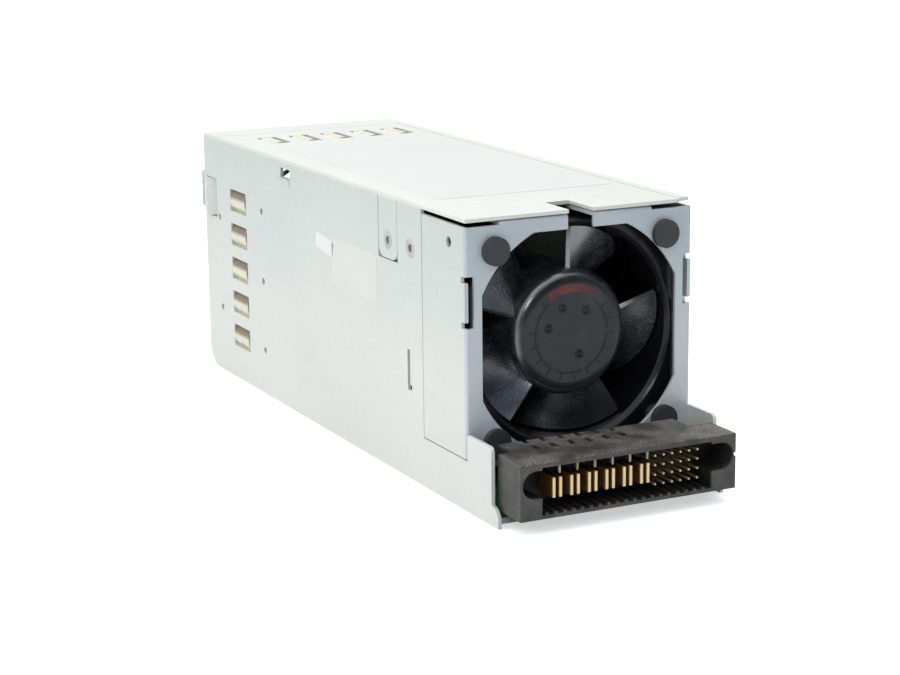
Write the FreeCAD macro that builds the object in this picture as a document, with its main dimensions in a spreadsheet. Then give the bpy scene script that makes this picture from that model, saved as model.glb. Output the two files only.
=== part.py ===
"""Hot swap server power supply: a sheet-steel box with a 60 mm fan and a blade connector at one end,
and a vented panel with a mains inlet, a pull handle and a release latch at the other.

Millimetres, +Z up.  The origin is under the middle of the box, on the surface it rests on.
+Y runs along the box, from the fan and connector end to the mains end, and +X to the right
when the fan end is looked at.
"""
import FreeCAD, Part
import os
import re
import Sketcher

# Driving sizes.  Each is set once here and goes into the spreadsheet under the same name.
SIZES = {
    # the sheet-steel case
    "case_width": 66.7,
    "case_height": 76.0,
    "case_length": 187.0,
    "sheet": 1.0,
    "seam": 0.3,
    "fit_gap": 0.05,
    "wall_reach": 13.5,
    "wall_step": 20.3,
    "wall_corner": 1.5,
    "floor_reach": 17.0,
    "lug_height": 5.2,
    "corner_bend": 7.0,
    "lip_width": 3.4,
    "lip_setback": 1.5,
    "lance_start": 114.5,
    "lance_length": 7.0,
    "lance_height": 2.8,
    "lance_drop": 4.6,
    "hook_rise": 0.8,
    "slot_start": 33.2,
    "slot_width": 1.6,
    "slot_bottom": 24.6,
    "slot_height": 11.2,
    "slot_foot": 2.6,
    # windows over the grounding springs, near the mains end
    "window_start": 151.0,
    "window_depth": 13.3,
    "window_height": 7.0,
    "window_pitch": 10.87,
    "window_first": 10.35,
    "window_count": 5,
    "pierce_radius": 1.1,
    "pierce_lead": 12.9,
    "pierce_trail": 10.0,
    # the top cover
    "cover_setback": 12.7,
    "cover_notch_width": 7.0,
    "cover_notch_depth": 12.6,
    "tongue_start": 40.3,
    "tongue_width": 11.6,
    "tongue_drop": 17.6,
    "tongue_round": 3.0,
    "hem_width": 5.0,
    "hem_length": 18.0,
    "hem_pitch": 58.0,
    # the fan bracket and its opening
    "flange_depth": 25.0,
    "flange_bottom": 13.7,
    "flange_hole_start": 9.3,
    "flange_hole_drop": 4.9,
    "flange_hole_radius": 1.4,
    "plate_bottom": 11.0,
    "plate_drop": 1.2,
    "plate_bend": 0.8,
    "tab_rise": 0.9,
    "tab_depth": 22.0,
    "tab_inner": 3.75,
    "tab_left": 19.8,
    "tab_right": 17.4,
    "side_notch_depth": 2.5,
    "side_notch_height": 13.4,
    "side_notch_bottom": 47.8,
    "side_tab_margin": 1.6,
    "opening_margin": 1.4,
    "opening_corner": 3.2,
    # the fan
    "fan_side_gap": 2.35,
    "fan_top_gap": 2.7,
    "fan_base": 12.3,
    "fan_depth": 38.0,
    "fan_flange": 4.0,
    "fan_corner": 4.0,
    "fan_bore_wall": 1.5,
    "fan_hole_inset": 5.0,
    "fan_hole_radius": 2.2,
    "isolator_gap": 3.2,
    "isolator_head": 3.75,
    "isolator_head_rise": 1.6,
    "bulge_radius": 3.0,
    "bulge_length": 2.6,
    "rotor_setback": 0.6,
    "rotor_turn": 31.0,
    "rotor_length": 31.0,
    "hub_radius": 17.0,
    "hub_wall": 1.4,
    "hub_face_radius": 13.2,
    "blade_count": 5,
    "blade_thick": 1.3,
    "blade_setback": 3.2,
    "blade_axial": 24.0,
    "blade_root_reach": 11.9,
    "blade_half_root": 7.4,
    "blade_half_tip": 17.5,
    "blade_camber": 38.0,
    "blade_tip_gap": 0.6,
    "motor_base_radius": 16.5,
    "motor_base_thick": 3.0,
    "strut_width": 3.0,
    "strut_count": 4,
    "shaft_radius": 1.5,
    "bearing_radius": 3.5,
    "bearing_width": 2.5,
    "tube_wall": 1.2,
    "stator_radius": 13.2,
    "stator_length": 14.0,
    "stator_slot": 2.4,
    "stator_core": 7.35,
    "stator_slot_count": 6,
    "magnet_thick": 1.3,
    "magnet_length": 18.0,
    # the blade connector
    "connector_reach": 25.4,
    "connector_side_gap": 1.85,
    "connector_bottom": 3.75,
    "connector_top": 18.45,
    "connector_front_depth": 11.9,
    "connector_rear_depth": 8.0,
    "connector_left_step": 4.0,
    "connector_right_step": 6.9,
    "cavity_left_inset": 6.2,
    "cavity_right_inset": 7.3,
    "cavity_floor": 0.9,
    "cavity_roof": 1.4,
    "cavity_depth": 10.2,
    "guide_radius": 3.6,
    "guide_inset": 4.3,
    "guide_height": 12.8,
    "guide_slit": 1.0,
    "guide_slit_depth": 0.8,
    "contact_height": 10.8,
    "contact_setback": 2.0,
    "blade_inset": 4.4,
    "blade_pitch": 5.08,
    "blade_spread": 1.9,
    "blade_plate": 0.8,
    "blade_height": 5.4,
    "pair_gap": 4.0,
    "pin_inset": 2.2,
    "pin_pitch": 2.54,
    "pin_size": 0.64,
    "pin_columns": 6,
    "pin_rows": 4,
    "pin_setback": 3.2,
    "tail_length": 1.6,
    "tooth_width": 0.9,
    "tooth_rise": 0.6,
    "roof_rib_width": 1.0,
    "roof_rib_drop": 1.7,
    "vent_width": 1.7,
    "vent_length": 3.6,
    "vent_depth": 2.4,
    "vent_row_pitch": 5.8,
    "vent_setback": 11.4,
    # the boards and what holds them
    "board_thick": 1.6,
    "board_reach": 13.2,
    "board_setback": 16.0,
    "board_margin": 1.0,
    "standoff_height": 2.2,
    "standoff_radius": 2.5,
    "standoff_inset": 4.0,
    "screw_head_radius": 2.6,
    "screw_head_rise": 1.7,
    "screw_radius": 1.25,
    "insulator_thick": 0.4,
    # the mains end
    "foot_length": 12.0,
    "panel_flange": 9.0,
    "panel_flange_bottom": 12.0,
    "panel_flange_top": 44.0,
    "vent_hex_radius": 3.3,
    "vent_hex_pitch": 7.0,
    "vent_hex_left": 14.0,
    "vent_hex_bottom": 39.6,
    "inlet_offset": 9.0,
    "inlet_height": 22.0,
    "inlet_flange_width": 31.0,
    "inlet_flange_height": 24.0,
    "inlet_flange_thick": 2.0,
    "inlet_body_width": 27.4,
    "inlet_body_height": 20.0,
    "inlet_body_depth": 19.0,
    "inlet_cavity_width": 24.4,
    "inlet_cavity_height": 16.6,
    "inlet_cavity_depth": 17.0,
    "inlet_corner": 4.2,
    "inlet_pin_width": 2.0,
    "inlet_pin_height": 4.0,
    "inlet_pin_length": 14.5,
    "inlet_pin_spread": 7.0,
    "inlet_pin_rise": 4.0,
    "inlet_tail": 3.0,
    "lamp_radius": 1.6,
    "lamp_inset": 5.35,
    "lamp_height": 28.0,
    "lamp_rise": 0.8,
    "lamp_length": 7.0,
    # the pull handle, hinged on two lugs
    "handle_offset": 5.0,
    "handle_width": 42.0,
    "handle_length": 34.0,
    "handle_bar": 7.0,
    "handle_thick": 6.0,
    "handle_round": 2.2,
    "handle_corner": 8.4,
    "hinge_height": 35.4,
    "hinge_reach": 5.2,
    "hinge_pin_radius": 1.5,
    "hinge_head_radius": 2.55,
    "hinge_head_rise": 1.0,
    "lug_thick": 3.0,
    "lug_radius": 3.6,
    # the release latch on its upright pin
    "latch_height": 56.0,
    "latch_depth": 12.0,
    "latch_pin_inset": 5.75,
    "latch_pin_setback": 13.0,
    "latch_pin_radius": 1.25,
    "latch_barrel": 3.0,
    "latch_arm": 2.4,
    "latch_arm_inset": 2.75,
    "latch_reach": 13.0,
    "latch_pad_length": 8.0,
    "latch_pad_thick": 3.4,
    "latch_tooth_setback": 6.2,
    "latch_tooth_length": 4.6,
    "latch_tooth_reach": 1.5,
    "latch_swing_room": 2.0,
    "latch_slot_inset": 11.15,
    "latch_bracket_inset": 12.15,
    "latch_spring_thick": 0.4,
    # the spring strips behind the windows
    "strip_thick": 0.3,
    "strip_rise": 0.35,
    "strip_arch": 6.2,
    "strip_shoulder": 1.3,
    "strip_shoulder_height": 0.95,
    "strip_margin": 0.5,
    "top_window_width": 6.6,
    "top_window_pitch": 10.6,
    "top_window_first": 23.9,
    # screws in the sides
    "side_screw_radius": 1.5,
    "side_screw_head": 2.7,
    "side_screw_sink": 0.9,
    "side_screw_length": 2.1,
    "tongue_screw_rise": 5.1,
    "case_screw_start": 32.1,
    "nut_plate_thick": 0.9,
    "nut_plate_margin": 4.0,
    # what the board carries
    "bay_gap": 3.0,
    "bulk_margin": 1.25,
    "bulk_gap": 2.01,
    "bulk_rear_gap": 4.3,
    "bulk_height": 45.0,
    "output_radius": 5.0,
    "output_height": 22.0,
    "output_pitch": 11.4,
    "output_count": 4,
    "transformer_left_gap": 4.95,
    "transformer_right_gap": 7.35,
    "transformer_height": 38.0,
    "transformer_depth": 16.0,
    "transformer_leg": 10.0,
    "winding_spread": 7.5,
    "sink_thick": 3.0,
    "sink_length": 46.0,
    "sink_height": 46.0,
    "sink_fin": 5.0,
    "sink_fin_thick": 1.4,
    "sink_fin_count": 6,
    "sink_margin": 2.0,
    "output_sink_start": 18.0,
    "input_sink_start": 62.0,
    "switch_width": 10.2,
    "switch_height": 15.0,
    "switch_thick": 4.4,
    "switch_pitch": 14.0,
    "switch_count": 3,
    "choke_radius": 5.2,
    "choke_section": 2.4,
    "filter_radius": 3.8,
    "filter_section": 1.8,
    "film_width": 10.0,
    "film_length": 14.0,
    "film_height": 12.0,
    "part_gap": 0.9,
    "aisle_margin": 11.45,
    "film_margin": 1.55,
    "relay_width": 12.0,
    "relay_length": 19.0,
    "relay_height": 15.0,
    "fuse_radius": 2.6,
    "fuse_cap_rise": 0.39,
    "fuse_length": 20.0,
    "card_start": 6.0,
    "card_length": 30.0,
    "card_height": 34.0,
    "card_inset": 4.35,
    "chip_size": 7.0,
    "chip_thick": 1.2,
    "chip_pitch": 10.0,
    "chip_count": 3,
}

# Places worked out from the sizes; they go into the variable set, in this order.
PLACES = {
    "half_width": "case_width / 2",
    "inner_half": "half_width - sheet",
    "plate_y": "-case_length / 2",
    "rear_y": "case_length / 2",
    "cover_under": "case_height - sheet",
    "cover_end_y": "rear_y - cover_setback",
    "cover_right": "half_width - lip_width - seam",
    "tongue_bottom": "case_height - tongue_drop",
    "tongue_screw_height": "tongue_bottom + tongue_screw_rise",
    "tongue_low_y": "plate_y + tongue_start",
    "tongue_high_y": "tongue_low_y + tongue_width",
    "plate_top": "cover_under - plate_drop",
    "flange_hole_height": "plate_top - flange_hole_drop",
    "tab_top": "plate_top + tab_rise",
    "window_low_y": "plate_y + window_start",
    "window_high_y": "window_low_y + window_depth",
    "window_centre": "window_first + window_height / 2",
    "fan_front_y": "plate_y + sheet + isolator_gap",
    "fan_rear_y": "fan_front_y + fan_depth",
    "fan_size": "min(2 * (inner_half - fan_side_gap); cover_under - fan_top_gap - fan_base)",
    "fan_half": "fan_size / 2",
    "fan_axis_height": "cover_under - fan_top_gap - fan_half",
    "fan_bore": "fan_size - 2 * fan_bore_wall",
    "fan_hole_pitch": "fan_size - 2 * fan_hole_inset",
    "opening_width": "fan_size - 2 * opening_margin",
    "opening_radius": "fan_bore / 2 + opening_corner",
    "rotor_front_y": "fan_front_y + rotor_setback",
    "rotor_rear_y": "rotor_front_y + rotor_length",
    "motor_base_y": "fan_rear_y - motor_base_thick",
    "connector_front_y": "plate_y - connector_reach",
    "connector_step_y": "connector_front_y + connector_front_depth",
    "connector_rear_y": "connector_step_y + connector_rear_depth",
    "connector_half": "half_width - connector_side_gap",
    "connector_rear_left": "connector_half - connector_left_step",
    "connector_rear_right": "connector_half - connector_right_step",
    "cavity_left": "connector_half - cavity_left_inset",
    "cavity_right": "connector_half - cavity_right_inset",
    "guide_offset": "connector_half - guide_inset",
    "blade_first": "cavity_left - blade_inset",
    "pin_first": "cavity_right - pin_inset - (pin_columns - 1) * pin_pitch",
    "pair_count": "floor((blade_first + pin_first - pair_gap) / blade_pitch) + 1",
    "tooth_count": "floor((cavity_left + cavity_right - 3 * tooth_width) / pin_pitch) + 1",
    "cavity_bottom": "connector_bottom + cavity_floor",
    "cavity_top": "connector_top - cavity_roof",
    "cavity_back_y": "connector_front_y + cavity_depth",
    "board_under": "sheet + standoff_height",
    "board_top": "board_under + board_thick",
    "board_front_y": "plate_y - board_reach",
    "board_rear_y": "rear_y - board_setback",
    "board_half": "inner_half - board_margin",
    "panel_half": "inner_half - fit_gap",
    "vent_hex_rise": "sqrt(3) * vent_hex_pitch",
    "vent_hex_across": "panel_half - sheet - vent_hex_radius - vent_hex_pitch / 2 + vent_hex_left",
    "vent_hex_columns": "floor(vent_hex_across / vent_hex_pitch) + 1",
    "vent_hex_up": "cover_under - vent_hex_radius - vent_hex_rise / 2 - vent_hex_bottom",
    "vent_hex_rows": "floor(vent_hex_up / vent_hex_rise) + 1",
    "inlet_front_y": "rear_y + inlet_flange_thick",
    "inlet_back_y": "rear_y - inlet_body_depth",
    "cavity_end_y": "inlet_front_y - inlet_cavity_depth",
    "hinge_y": "rear_y + hinge_reach",
    "handle_left": "handle_offset - handle_width / 2",
    "handle_right": "handle_offset + handle_width / 2",
    "lamp_offset": "inner_half - lamp_inset",
    "latch_pin_offset": "inner_half - latch_pin_inset",
    "latch_arm_offset": "inner_half - latch_arm_inset",
    "latch_slot_right": "inner_half - latch_slot_inset",
    "latch_bracket_right": "inner_half - latch_bracket_inset",
    "latch_low": "latch_height - latch_depth / 2",
    "latch_high": "latch_height + latch_depth / 2",
    "latch_pin_y": "rear_y - latch_pin_setback",
    "latch_tooth_y": "rear_y - latch_tooth_setback",
    "bay_y": "fan_rear_y + bay_gap",
    "output_sink_y": "bay_y + output_sink_start",
    "input_sink_y": "bay_y + input_sink_start",
    "sink_face": "board_half - sink_margin - sink_fin",
    "switch_face": "sink_face - sink_thick - switch_thick",
    "card_offset": "board_half - card_inset",
    "transformer_width": "board_half - transformer_right_gap + switch_face - transformer_left_gap",
    "transformer_offset": "board_half - transformer_right_gap - transformer_width / 2",
    "aisle_offset": "switch_face - aisle_margin",
    "fuse_offset": "aisle_offset - filter_radius - filter_section",
    "fuse_cap_radius": "fuse_radius + fuse_cap_rise",
    "bulk_across": "board_half - bulk_margin + fuse_offset - fuse_cap_radius - bulk_gap",
    "film_left": "board_half - film_margin - 2 * film_length - part_gap",
    "choke_y": "bay_y + 2 * output_radius + part_gap + choke_radius + choke_section",
    "winding_y": "choke_y + choke_radius + choke_section + part_gap",
    "core_y": "winding_y + winding_spread",
    "aisle_y": "core_y + transformer_depth + winding_spread + part_gap",
    "bulk_y": "output_sink_y + sink_length + part_gap",
    "bulk_along": "board_rear_y - standoff_inset - screw_head_radius - bulk_rear_gap - bulk_y",
    "bulk_radius": "min(bulk_across / 2; bulk_along / 4)",
    "bulk_offset": "board_half - bulk_margin - bulk_radius",
    "film_y": "input_sink_y + sink_length + part_gap",
}

doc = FreeCAD.newDocument("PowerSupply")
sheet = doc.addObject("Spreadsheet::Sheet", "Sizes")
places = doc.addObject("App::VarSet", "Places")
nodes = []


def expression(text):
    """The text with each size and place named through the object that holds it."""
    def owned(match):
        word = match.group(0)
        if word in SIZES:
            return "Sizes." + word
        if word in PLACES:
            return "Places." + word
        return word
    return re.sub(r"[a-z][a-z0-9_]*", owned, text)


def fill_sheet():
    for row, (name, value) in enumerate(SIZES.items(), start=1):
        sheet.set(f"A{row}", name)
        sheet.set(f"B{row}", str(value))
        sheet.setAlias(f"B{row}", name)
    doc.recompute()
    for name, text in PLACES.items():
        places.addProperty("App::PropertyFloat", name)
        places.setExpression(name, expression(text))
    doc.recompute()


def size(name):
    """The number that a size or a place has now."""
    return getattr(sheet if name in SIZES else places, name)


def bind(obj, prop, text):
    obj.setExpression(prop, expression(text))


def keep(obj, label):
    """Makes the object a sub-part: its label names its file."""
    obj.Label = label
    nodes.append(obj)
    return obj


# ---- Part primitives and booleans -------------------------------------------------------------

TURNS = {
    "x": FreeCAD.Rotation(FreeCAD.Vector(0, 1, 0), 90),
    "y": FreeCAD.Rotation(FreeCAD.Vector(1, 0, 0), -90),
    "z": FreeCAD.Rotation(),
}


def put(obj, corner):
    for axis, text in zip("xyz", corner):
        bind(obj, f".Placement.Base.{axis}", text)
    return obj


def box(name, low, high):
    """A block between two corners."""
    obj = doc.addObject("Part::Box", name)
    for prop, start, end in zip(("Length", "Width", "Height"), low, high):
        bind(obj, prop, f"({end}) - ({start})")
    return put(obj, low)


def rod(name, axis, start, radius, length):
    """A cylinder that runs from its start along +x, +y or +z."""
    obj = doc.addObject("Part::Cylinder", name)
    bind(obj, "Radius", radius)
    bind(obj, "Height", length)
    obj.Placement = FreeCAD.Placement(FreeCAD.Vector(), TURNS[axis])
    return put(obj, start)


def ring(name, axis, start, outer, inner, length):
    hole = rod(name + "_hole", axis, start, inner, length)
    return cut(name, rod(name + "_outside", axis, start, outer, length), [hole])


def cone(name, axis, start, radius, far_radius, length):
    obj = doc.addObject("Part::Cone", name)
    bind(obj, "Radius1", radius)
    bind(obj, "Radius2", far_radius)
    bind(obj, "Height", length)
    obj.Placement = FreeCAD.Placement(FreeCAD.Vector(), TURNS[axis])
    return put(obj, start)


def fuse(name, pieces):
    obj = doc.addObject("Part::MultiFuse", name)
    obj.Shapes = pieces
    return obj


def common(name, pieces):
    obj = doc.addObject("Part::MultiCommon", name)
    obj.Shapes = pieces
    return obj


def cut(name, base, tools):
    obj = doc.addObject("Part::Cut", name)
    obj.Base = base
    obj.Tool = tools[0] if len(tools) == 1 else fuse(name + "_tools", tools)
    return obj


def group(name, pieces):
    obj = doc.addObject("Part::Compound", name)
    obj.Links = pieces
    return obj


def edges(shape, test):
    return [number for number, edge in enumerate(shape.Edges, start=1) if test(edge)]


def along(edge, axis):
    """Whether a straight edge runs along x, y or z."""
    if not isinstance(edge.Curve, Part.Line):
        return False
    return abs(getattr(edge.Curve.Direction, axis)) > 0.999


# ---- PartDesign bodies ------------------------------------------------------------------------

def new_body(name):
    body = doc.addObject("PartDesign::Body", name)
    body.AllowCompound = True
    return body


def sketch_on(body, plane, start, height="0"):
    """A sketch across x, y or z at a place along that axis; height lifts its own origin."""
    faces = {"x": "YZ_Plane", "y": "XZ_Plane", "z": "XY_Plane"}
    sketch = body.newObject("Sketcher::SketchObject", f"{body.Name}_sketch")
    origin = next(f for f in body.Origin.OriginFeatures if f.Role == faces[plane])
    sketch.AttachmentSupport = [(origin, "")]
    sketch.MapMode = "FlatFace"
    offset = f"-({start})" if plane == "y" else start
    bind(sketch, ".AttachmentOffset.Base.z", offset)
    bind(sketch, ".AttachmentOffset.Base.y", height)
    return sketch


def hold(sketch, geometry, point, place):
    """Ties a point of the sketch to a place measured from the sketch's origin."""
    for kind, text in zip(("DistanceX", "DistanceY"), place):
        number = sketch.addConstraint(Sketcher.Constraint(kind, -1, 1, geometry, point, 1.0))
        bind(sketch, f"Constraints[{number}]", text)


def outline(sketch, corners):
    """A closed outline of straight lines."""
    first = sketch.GeometryCount
    count = len(corners)
    turn = FreeCAD.Rotation(FreeCAD.Vector(0, 0, 1), 360 / count)
    points = [FreeCAD.Vector(10, 0, 0)]
    for _ in corners[1:]:
        points.append(turn.multVec(points[-1]))
    for start, end in zip(points, points[1:] + points[:1]):
        sketch.addGeometry(Part.LineSegment(start, end))
    for number, corner in enumerate(corners):
        after = first + (number + 1) % count
        sketch.addConstraint(Sketcher.Constraint("Coincident", first + number, 2, after, 1))
        hold(sketch, first + number, 1, corner)


def rectangle(sketch, low, high):
    outline(sketch, [low, (high[0], low[1]), high, (low[0], high[1])])


def circle(sketch, centre, radius):
    number = sketch.addGeometry(Part.Circle(FreeCAD.Vector(), FreeCAD.Vector(0, 0, 1), 5))
    hold(sketch, number, 3, centre)
    limit = sketch.addConstraint(Sketcher.Constraint("Radius", number, 5))
    bind(sketch, f"Constraints[{limit}]", radius)


def pad(body, sketch, plane, length):
    """Material from the sketch towards the positive side of its axis."""
    feature = body.newObject("PartDesign::Pad", f"{body.Name}_pad")
    feature.Profile = sketch
    feature.Refine = False
    feature.Reversed = plane == "y"
    bind(feature, "Length", length)
    return feature


def pocket(body, sketch, plane, length):
    """A cut from the sketch towards the positive side of its axis."""
    feature = body.newObject("PartDesign::Pocket", f"{body.Name}_pocket")
    feature.Profile = sketch
    feature.Refine = False
    feature.Reversed = plane != "y"
    bind(feature, "Length", length)
    return feature


def slab(body, plane, low, high, start, end):
    """A padded rectangle between two places along the axis."""
    sketch = sketch_on(body, plane, start)
    rectangle(sketch, low, high)
    return pad(body, sketch, plane, f"({end}) - ({start})")


def window(body, plane, low, high, start, end):
    """A rectangle cut between two places along the axis."""
    sketch = sketch_on(body, plane, start)
    rectangle(sketch, low, high)
    return pocket(body, sketch, plane, f"({end}) - ({start})")


def drill(body, plane, centres, radius, start, end):
    sketch = sketch_on(body, plane, start)
    for centre in centres:
        circle(sketch, centre, radius)
    return pocket(body, sketch, plane, f"({end}) - ({start})")


def in_row(body, originals, sketch, axis, pitch, count):
    """Copies of features along the sketch's own H_Axis or V_Axis."""
    pattern = body.newObject("PartDesign::LinearPattern", f"{body.Name}_row")
    pattern.Originals = originals
    pattern.Direction = (sketch, [axis])
    bind(pattern, "Length", f"({pitch}) * ({count} - 1)")
    bind(pattern, "Occurrences", count)
    pattern.Refine = False
    body.Tip = pattern
    return pattern


def in_grid(body, originals, sketch, across, up):
    """Copies in columns and rows; across and up are each a pitch and a count."""
    grid = body.newObject("PartDesign::MultiTransform", f"{body.Name}_grid")
    grid.Originals = originals
    steps = []
    for axis, (pitch, count) in (("H_Axis", across), ("V_Axis", up)):
        pattern = body.newObject("PartDesign::LinearPattern", f"{body.Name}_step")
        pattern.Direction = (sketch, [axis])
        bind(pattern, "Length", f"({pitch}) * ({count} - 1)")
        bind(pattern, "Occurrences", count)
        steps.append(pattern)
    grid.Transformations = steps
    grid.Refine = False
    body.Tip = grid
    return grid


def around(body, originals, sketch, axis, count):
    pattern = body.newObject("PartDesign::PolarPattern", f"{body.Name}_turns")
    pattern.Originals = originals
    pattern.Axis = (sketch, [axis])
    pattern.Angle = 360
    bind(pattern, "Occurrences", count)
    pattern.Refine = False
    body.Tip = pattern
    return pattern


def soften(body, radius, test):
    """Rounds the chosen edges of the body as it stands."""
    doc.recompute()
    base = body.Tip
    feature = body.newObject("PartDesign::Fillet", f"{body.Name}_round")
    feature.Base = (base, [f"Edge{number}" for number in edges(base.Shape, test)])
    bind(feature, "Radius", radius)
    return feature


def bevel(body, width, test):
    """Cuts the chosen edges of the body back at 45 degrees."""
    doc.recompute()
    base = body.Tip
    feature = body.newObject("PartDesign::Chamfer", f"{body.Name}_bevel")
    feature.Base = (base, [f"Edge{number}" for number in edges(base.Shape, test)])
    bind(feature, "Size", width)
    return feature


def near(value, place):
    return abs(value - place) < 0.01


def edge_at(axis, **place):
    """A test for straight edges along an axis that pass through the given coordinates."""
    def test(edge):
        middle = edge.CenterOfMass
        return along(edge, axis) and all(near(getattr(middle, key), value) for key, value in place.items())
    return test


# ---- The case ---------------------------------------------------------------------------------

def wall_outline(notched):
    """Side view of a wall: low ahead of the fan plate, cut back for the bracket's flange."""
    front = "plate_y - wall_reach"
    lug = "plate_y - floor_reach"
    stop = "plate_y - seam"
    back = "plate_y + flange_depth + seam"
    step = "flange_bottom - seam"
    corners = [(lug, "0"), ("rear_y", "0"), ("rear_y", "cover_under")]
    if notched:
        low, high, floor = "tongue_low_y - seam", "tongue_high_y + seam", "tongue_bottom - seam"
        corners += [(high, "cover_under"), (high, floor), (low, floor), (low, "cover_under")]
    corners += [(back, "cover_under"), (back, step), (stop, step), (stop, "wall_step")]
    return corners + [(front, "wall_step"), (front, "lug_height"), (lug, "lug_height")]


def case_tray():
    """Floor and both walls from one sheet, open at both ends and on top."""
    body = new_body("case_tray_body")
    slab(body, "z", ("-half_width", "plate_y - wall_reach"), ("half_width", "rear_y - foot_length"),
         "0", "sheet")
    for start, notched in (("-half_width", True), ("inner_half", False)):
        sketch = sketch_on(body, "x", start)
        outline(sketch, wall_outline(notched))
        pad(body, sketch, "x", "sheet")
    bottom = edge_at("x", y=size("rear_y"), z=0)
    soften(body, "corner_bend", bottom)
    front = edge_at("x", y=size("plate_y") - size("wall_reach"), z=size("wall_step"))
    soften(body, "wall_corner", front)
    lug = edge_at("x", y=size("plate_y") - size("floor_reach"), z=size("lug_height"))
    soften(body, "floor_reach - wall_reach - fit_gap", lug)

    # the right wall folds over the edge of the cover
    slab(body, "z", ("half_width - lip_width", "plate_y + lip_setback"), ("half_width", "cover_end_y"),
         "cover_under", "case_height")
    # the lanced hook under the left edge of the cover
    hook = sketch_on(body, "y", "plate_y + lance_start")
    foot, top = "cover_under - lance_drop - lance_height", "cover_under - lance_drop"
    outline(hook, [("-half_width", foot), ("-half_width", top), ("-half_width - hook_rise", top)])
    pad(body, hook, "y", "lance_length")
    window(body, "x", ("plate_y + lance_start", top),
           ("plate_y + lance_start + lance_length", "cover_under - lance_drop + lance_height"),
           "-half_width", "-inner_half")

    # windows for the grounding springs, through both walls
    sketch = sketch_on(body, "x", "-half_width")
    rectangle(sketch, ("window_low_y", "window_first"), ("window_high_y", "window_first + window_height"))
    first = pocket(body, sketch, "x", "case_width")
    in_row(body, [first], sketch, "V_Axis", "window_pitch", "window_count")
    lead, trail = "window_low_y - pierce_lead", "window_high_y + pierce_trail"
    middle = "window_centre + window_pitch * (window_count - 1) / 2"
    top = "window_centre + window_pitch * (window_count - 1)"
    drill(body, "x", [(lead, "window_centre"), (lead, middle), (lead, top),
                      (trail, f"{top} - window_height"), (trail, "window_centre + window_height")],
          "pierce_radius", "-half_width", "half_width")

    # the latch's tooth comes out through the left wall
    window(body, "x", ("latch_tooth_y - latch_tooth_length", "latch_low - seam"),
           ("latch_tooth_y + latch_tooth_length / 2 + latch_swing_room", "latch_high + seam"),
           "-half_width", "-inner_half")
    # L-shaped slot low on the left wall
    sketch = sketch_on(body, "x", "-half_width")
    low, high = "plate_y + slot_start - slot_foot + slot_width", "plate_y + slot_start + slot_width"
    outline(sketch, [(low, "slot_bottom"), (high, "slot_bottom"), (high, "slot_bottom + slot_height"),
                     ("plate_y + slot_start", "slot_bottom + slot_height"),
                     ("plate_y + slot_start", "slot_bottom + slot_width"),
                     (low, "slot_bottom + slot_width")])
    pocket(body, sketch, "x", "sheet")
    # holes for the screw in each wall
    drill(body, "x", [("plate_y + case_screw_start", "tongue_screw_height")],
          "side_screw_radius + fit_gap", "-half_width", "half_width")
    sinks = screw_sinks("case_screw_sink", "plate_y + case_screw_start", ("left", "right"))
    keep(cut("case_tray", body, sinks), "case_tray")


def screw_sinks(name, place, sides):
    """Countersinks in the walls for flat-headed screws."""
    wide, narrow = "side_screw_head + fit_gap", "side_screw_radius + fit_gap"
    cones = []
    for side in sides:
        if side == "left":
            start, near_radius, far_radius = "-half_width", wide, narrow
        else:
            start, near_radius, far_radius = "half_width - side_screw_sink", narrow, wide
        cones.append(cone(f"{name}_{side}", "x", (start, place, "tongue_screw_height"),
                          near_radius, far_radius, "side_screw_sink"))
    return cones


def top_cover():
    """Flat lid with a finger notch, spring windows, a screwed tongue and tabs under the lip."""
    body = new_body("top_cover_body")
    slab(body, "z", ("-half_width", "plate_y"), ("cover_right", "cover_end_y"),
         "cover_under", "case_height")
    window(body, "z", ("-cover_notch_width / 2", "plate_y"),
           ("cover_notch_width / 2", "plate_y + cover_notch_depth"), "cover_under", "case_height")
    sketch = sketch_on(body, "z", "cover_under")
    rectangle(sketch, ("-top_window_first", "window_low_y"),
              ("top_window_width - top_window_first", "window_high_y"))
    first = pocket(body, sketch, "z", "sheet")
    in_row(body, [first], sketch, "H_Axis", "top_window_pitch", "window_count")
    slab(body, "x", ("tongue_low_y", "tongue_bottom"), ("tongue_high_y", "case_height"),
         "-half_width", "-inner_half")
    low_y, high_y, bottom = size("tongue_low_y"), size("tongue_high_y"), size("tongue_bottom")
    for end in (low_y, high_y):
        soften(body, "tongue_round", edge_at("x", y=end, z=bottom))
    # tabs one sheet lower reach under the right wall's lip
    sketch = sketch_on(body, "z", "cover_under - sheet")
    rectangle(sketch, ("cover_right - hem_width", "bay_y"), ("inner_half - seam", "bay_y + hem_length"))
    first = pad(body, sketch, "z", "sheet")
    in_row(body, [first], sketch, "V_Axis", "hem_pitch", "2")
    middle = "tongue_low_y + tongue_width / 2"
    drill(body, "x", [(middle, "tongue_screw_height")], "side_screw_radius + fit_gap",
          "-half_width", "-inner_half")
    keep(cut("top_cover", body, screw_sinks("tongue_sink", middle, ("left",))), "top_cover")


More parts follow.
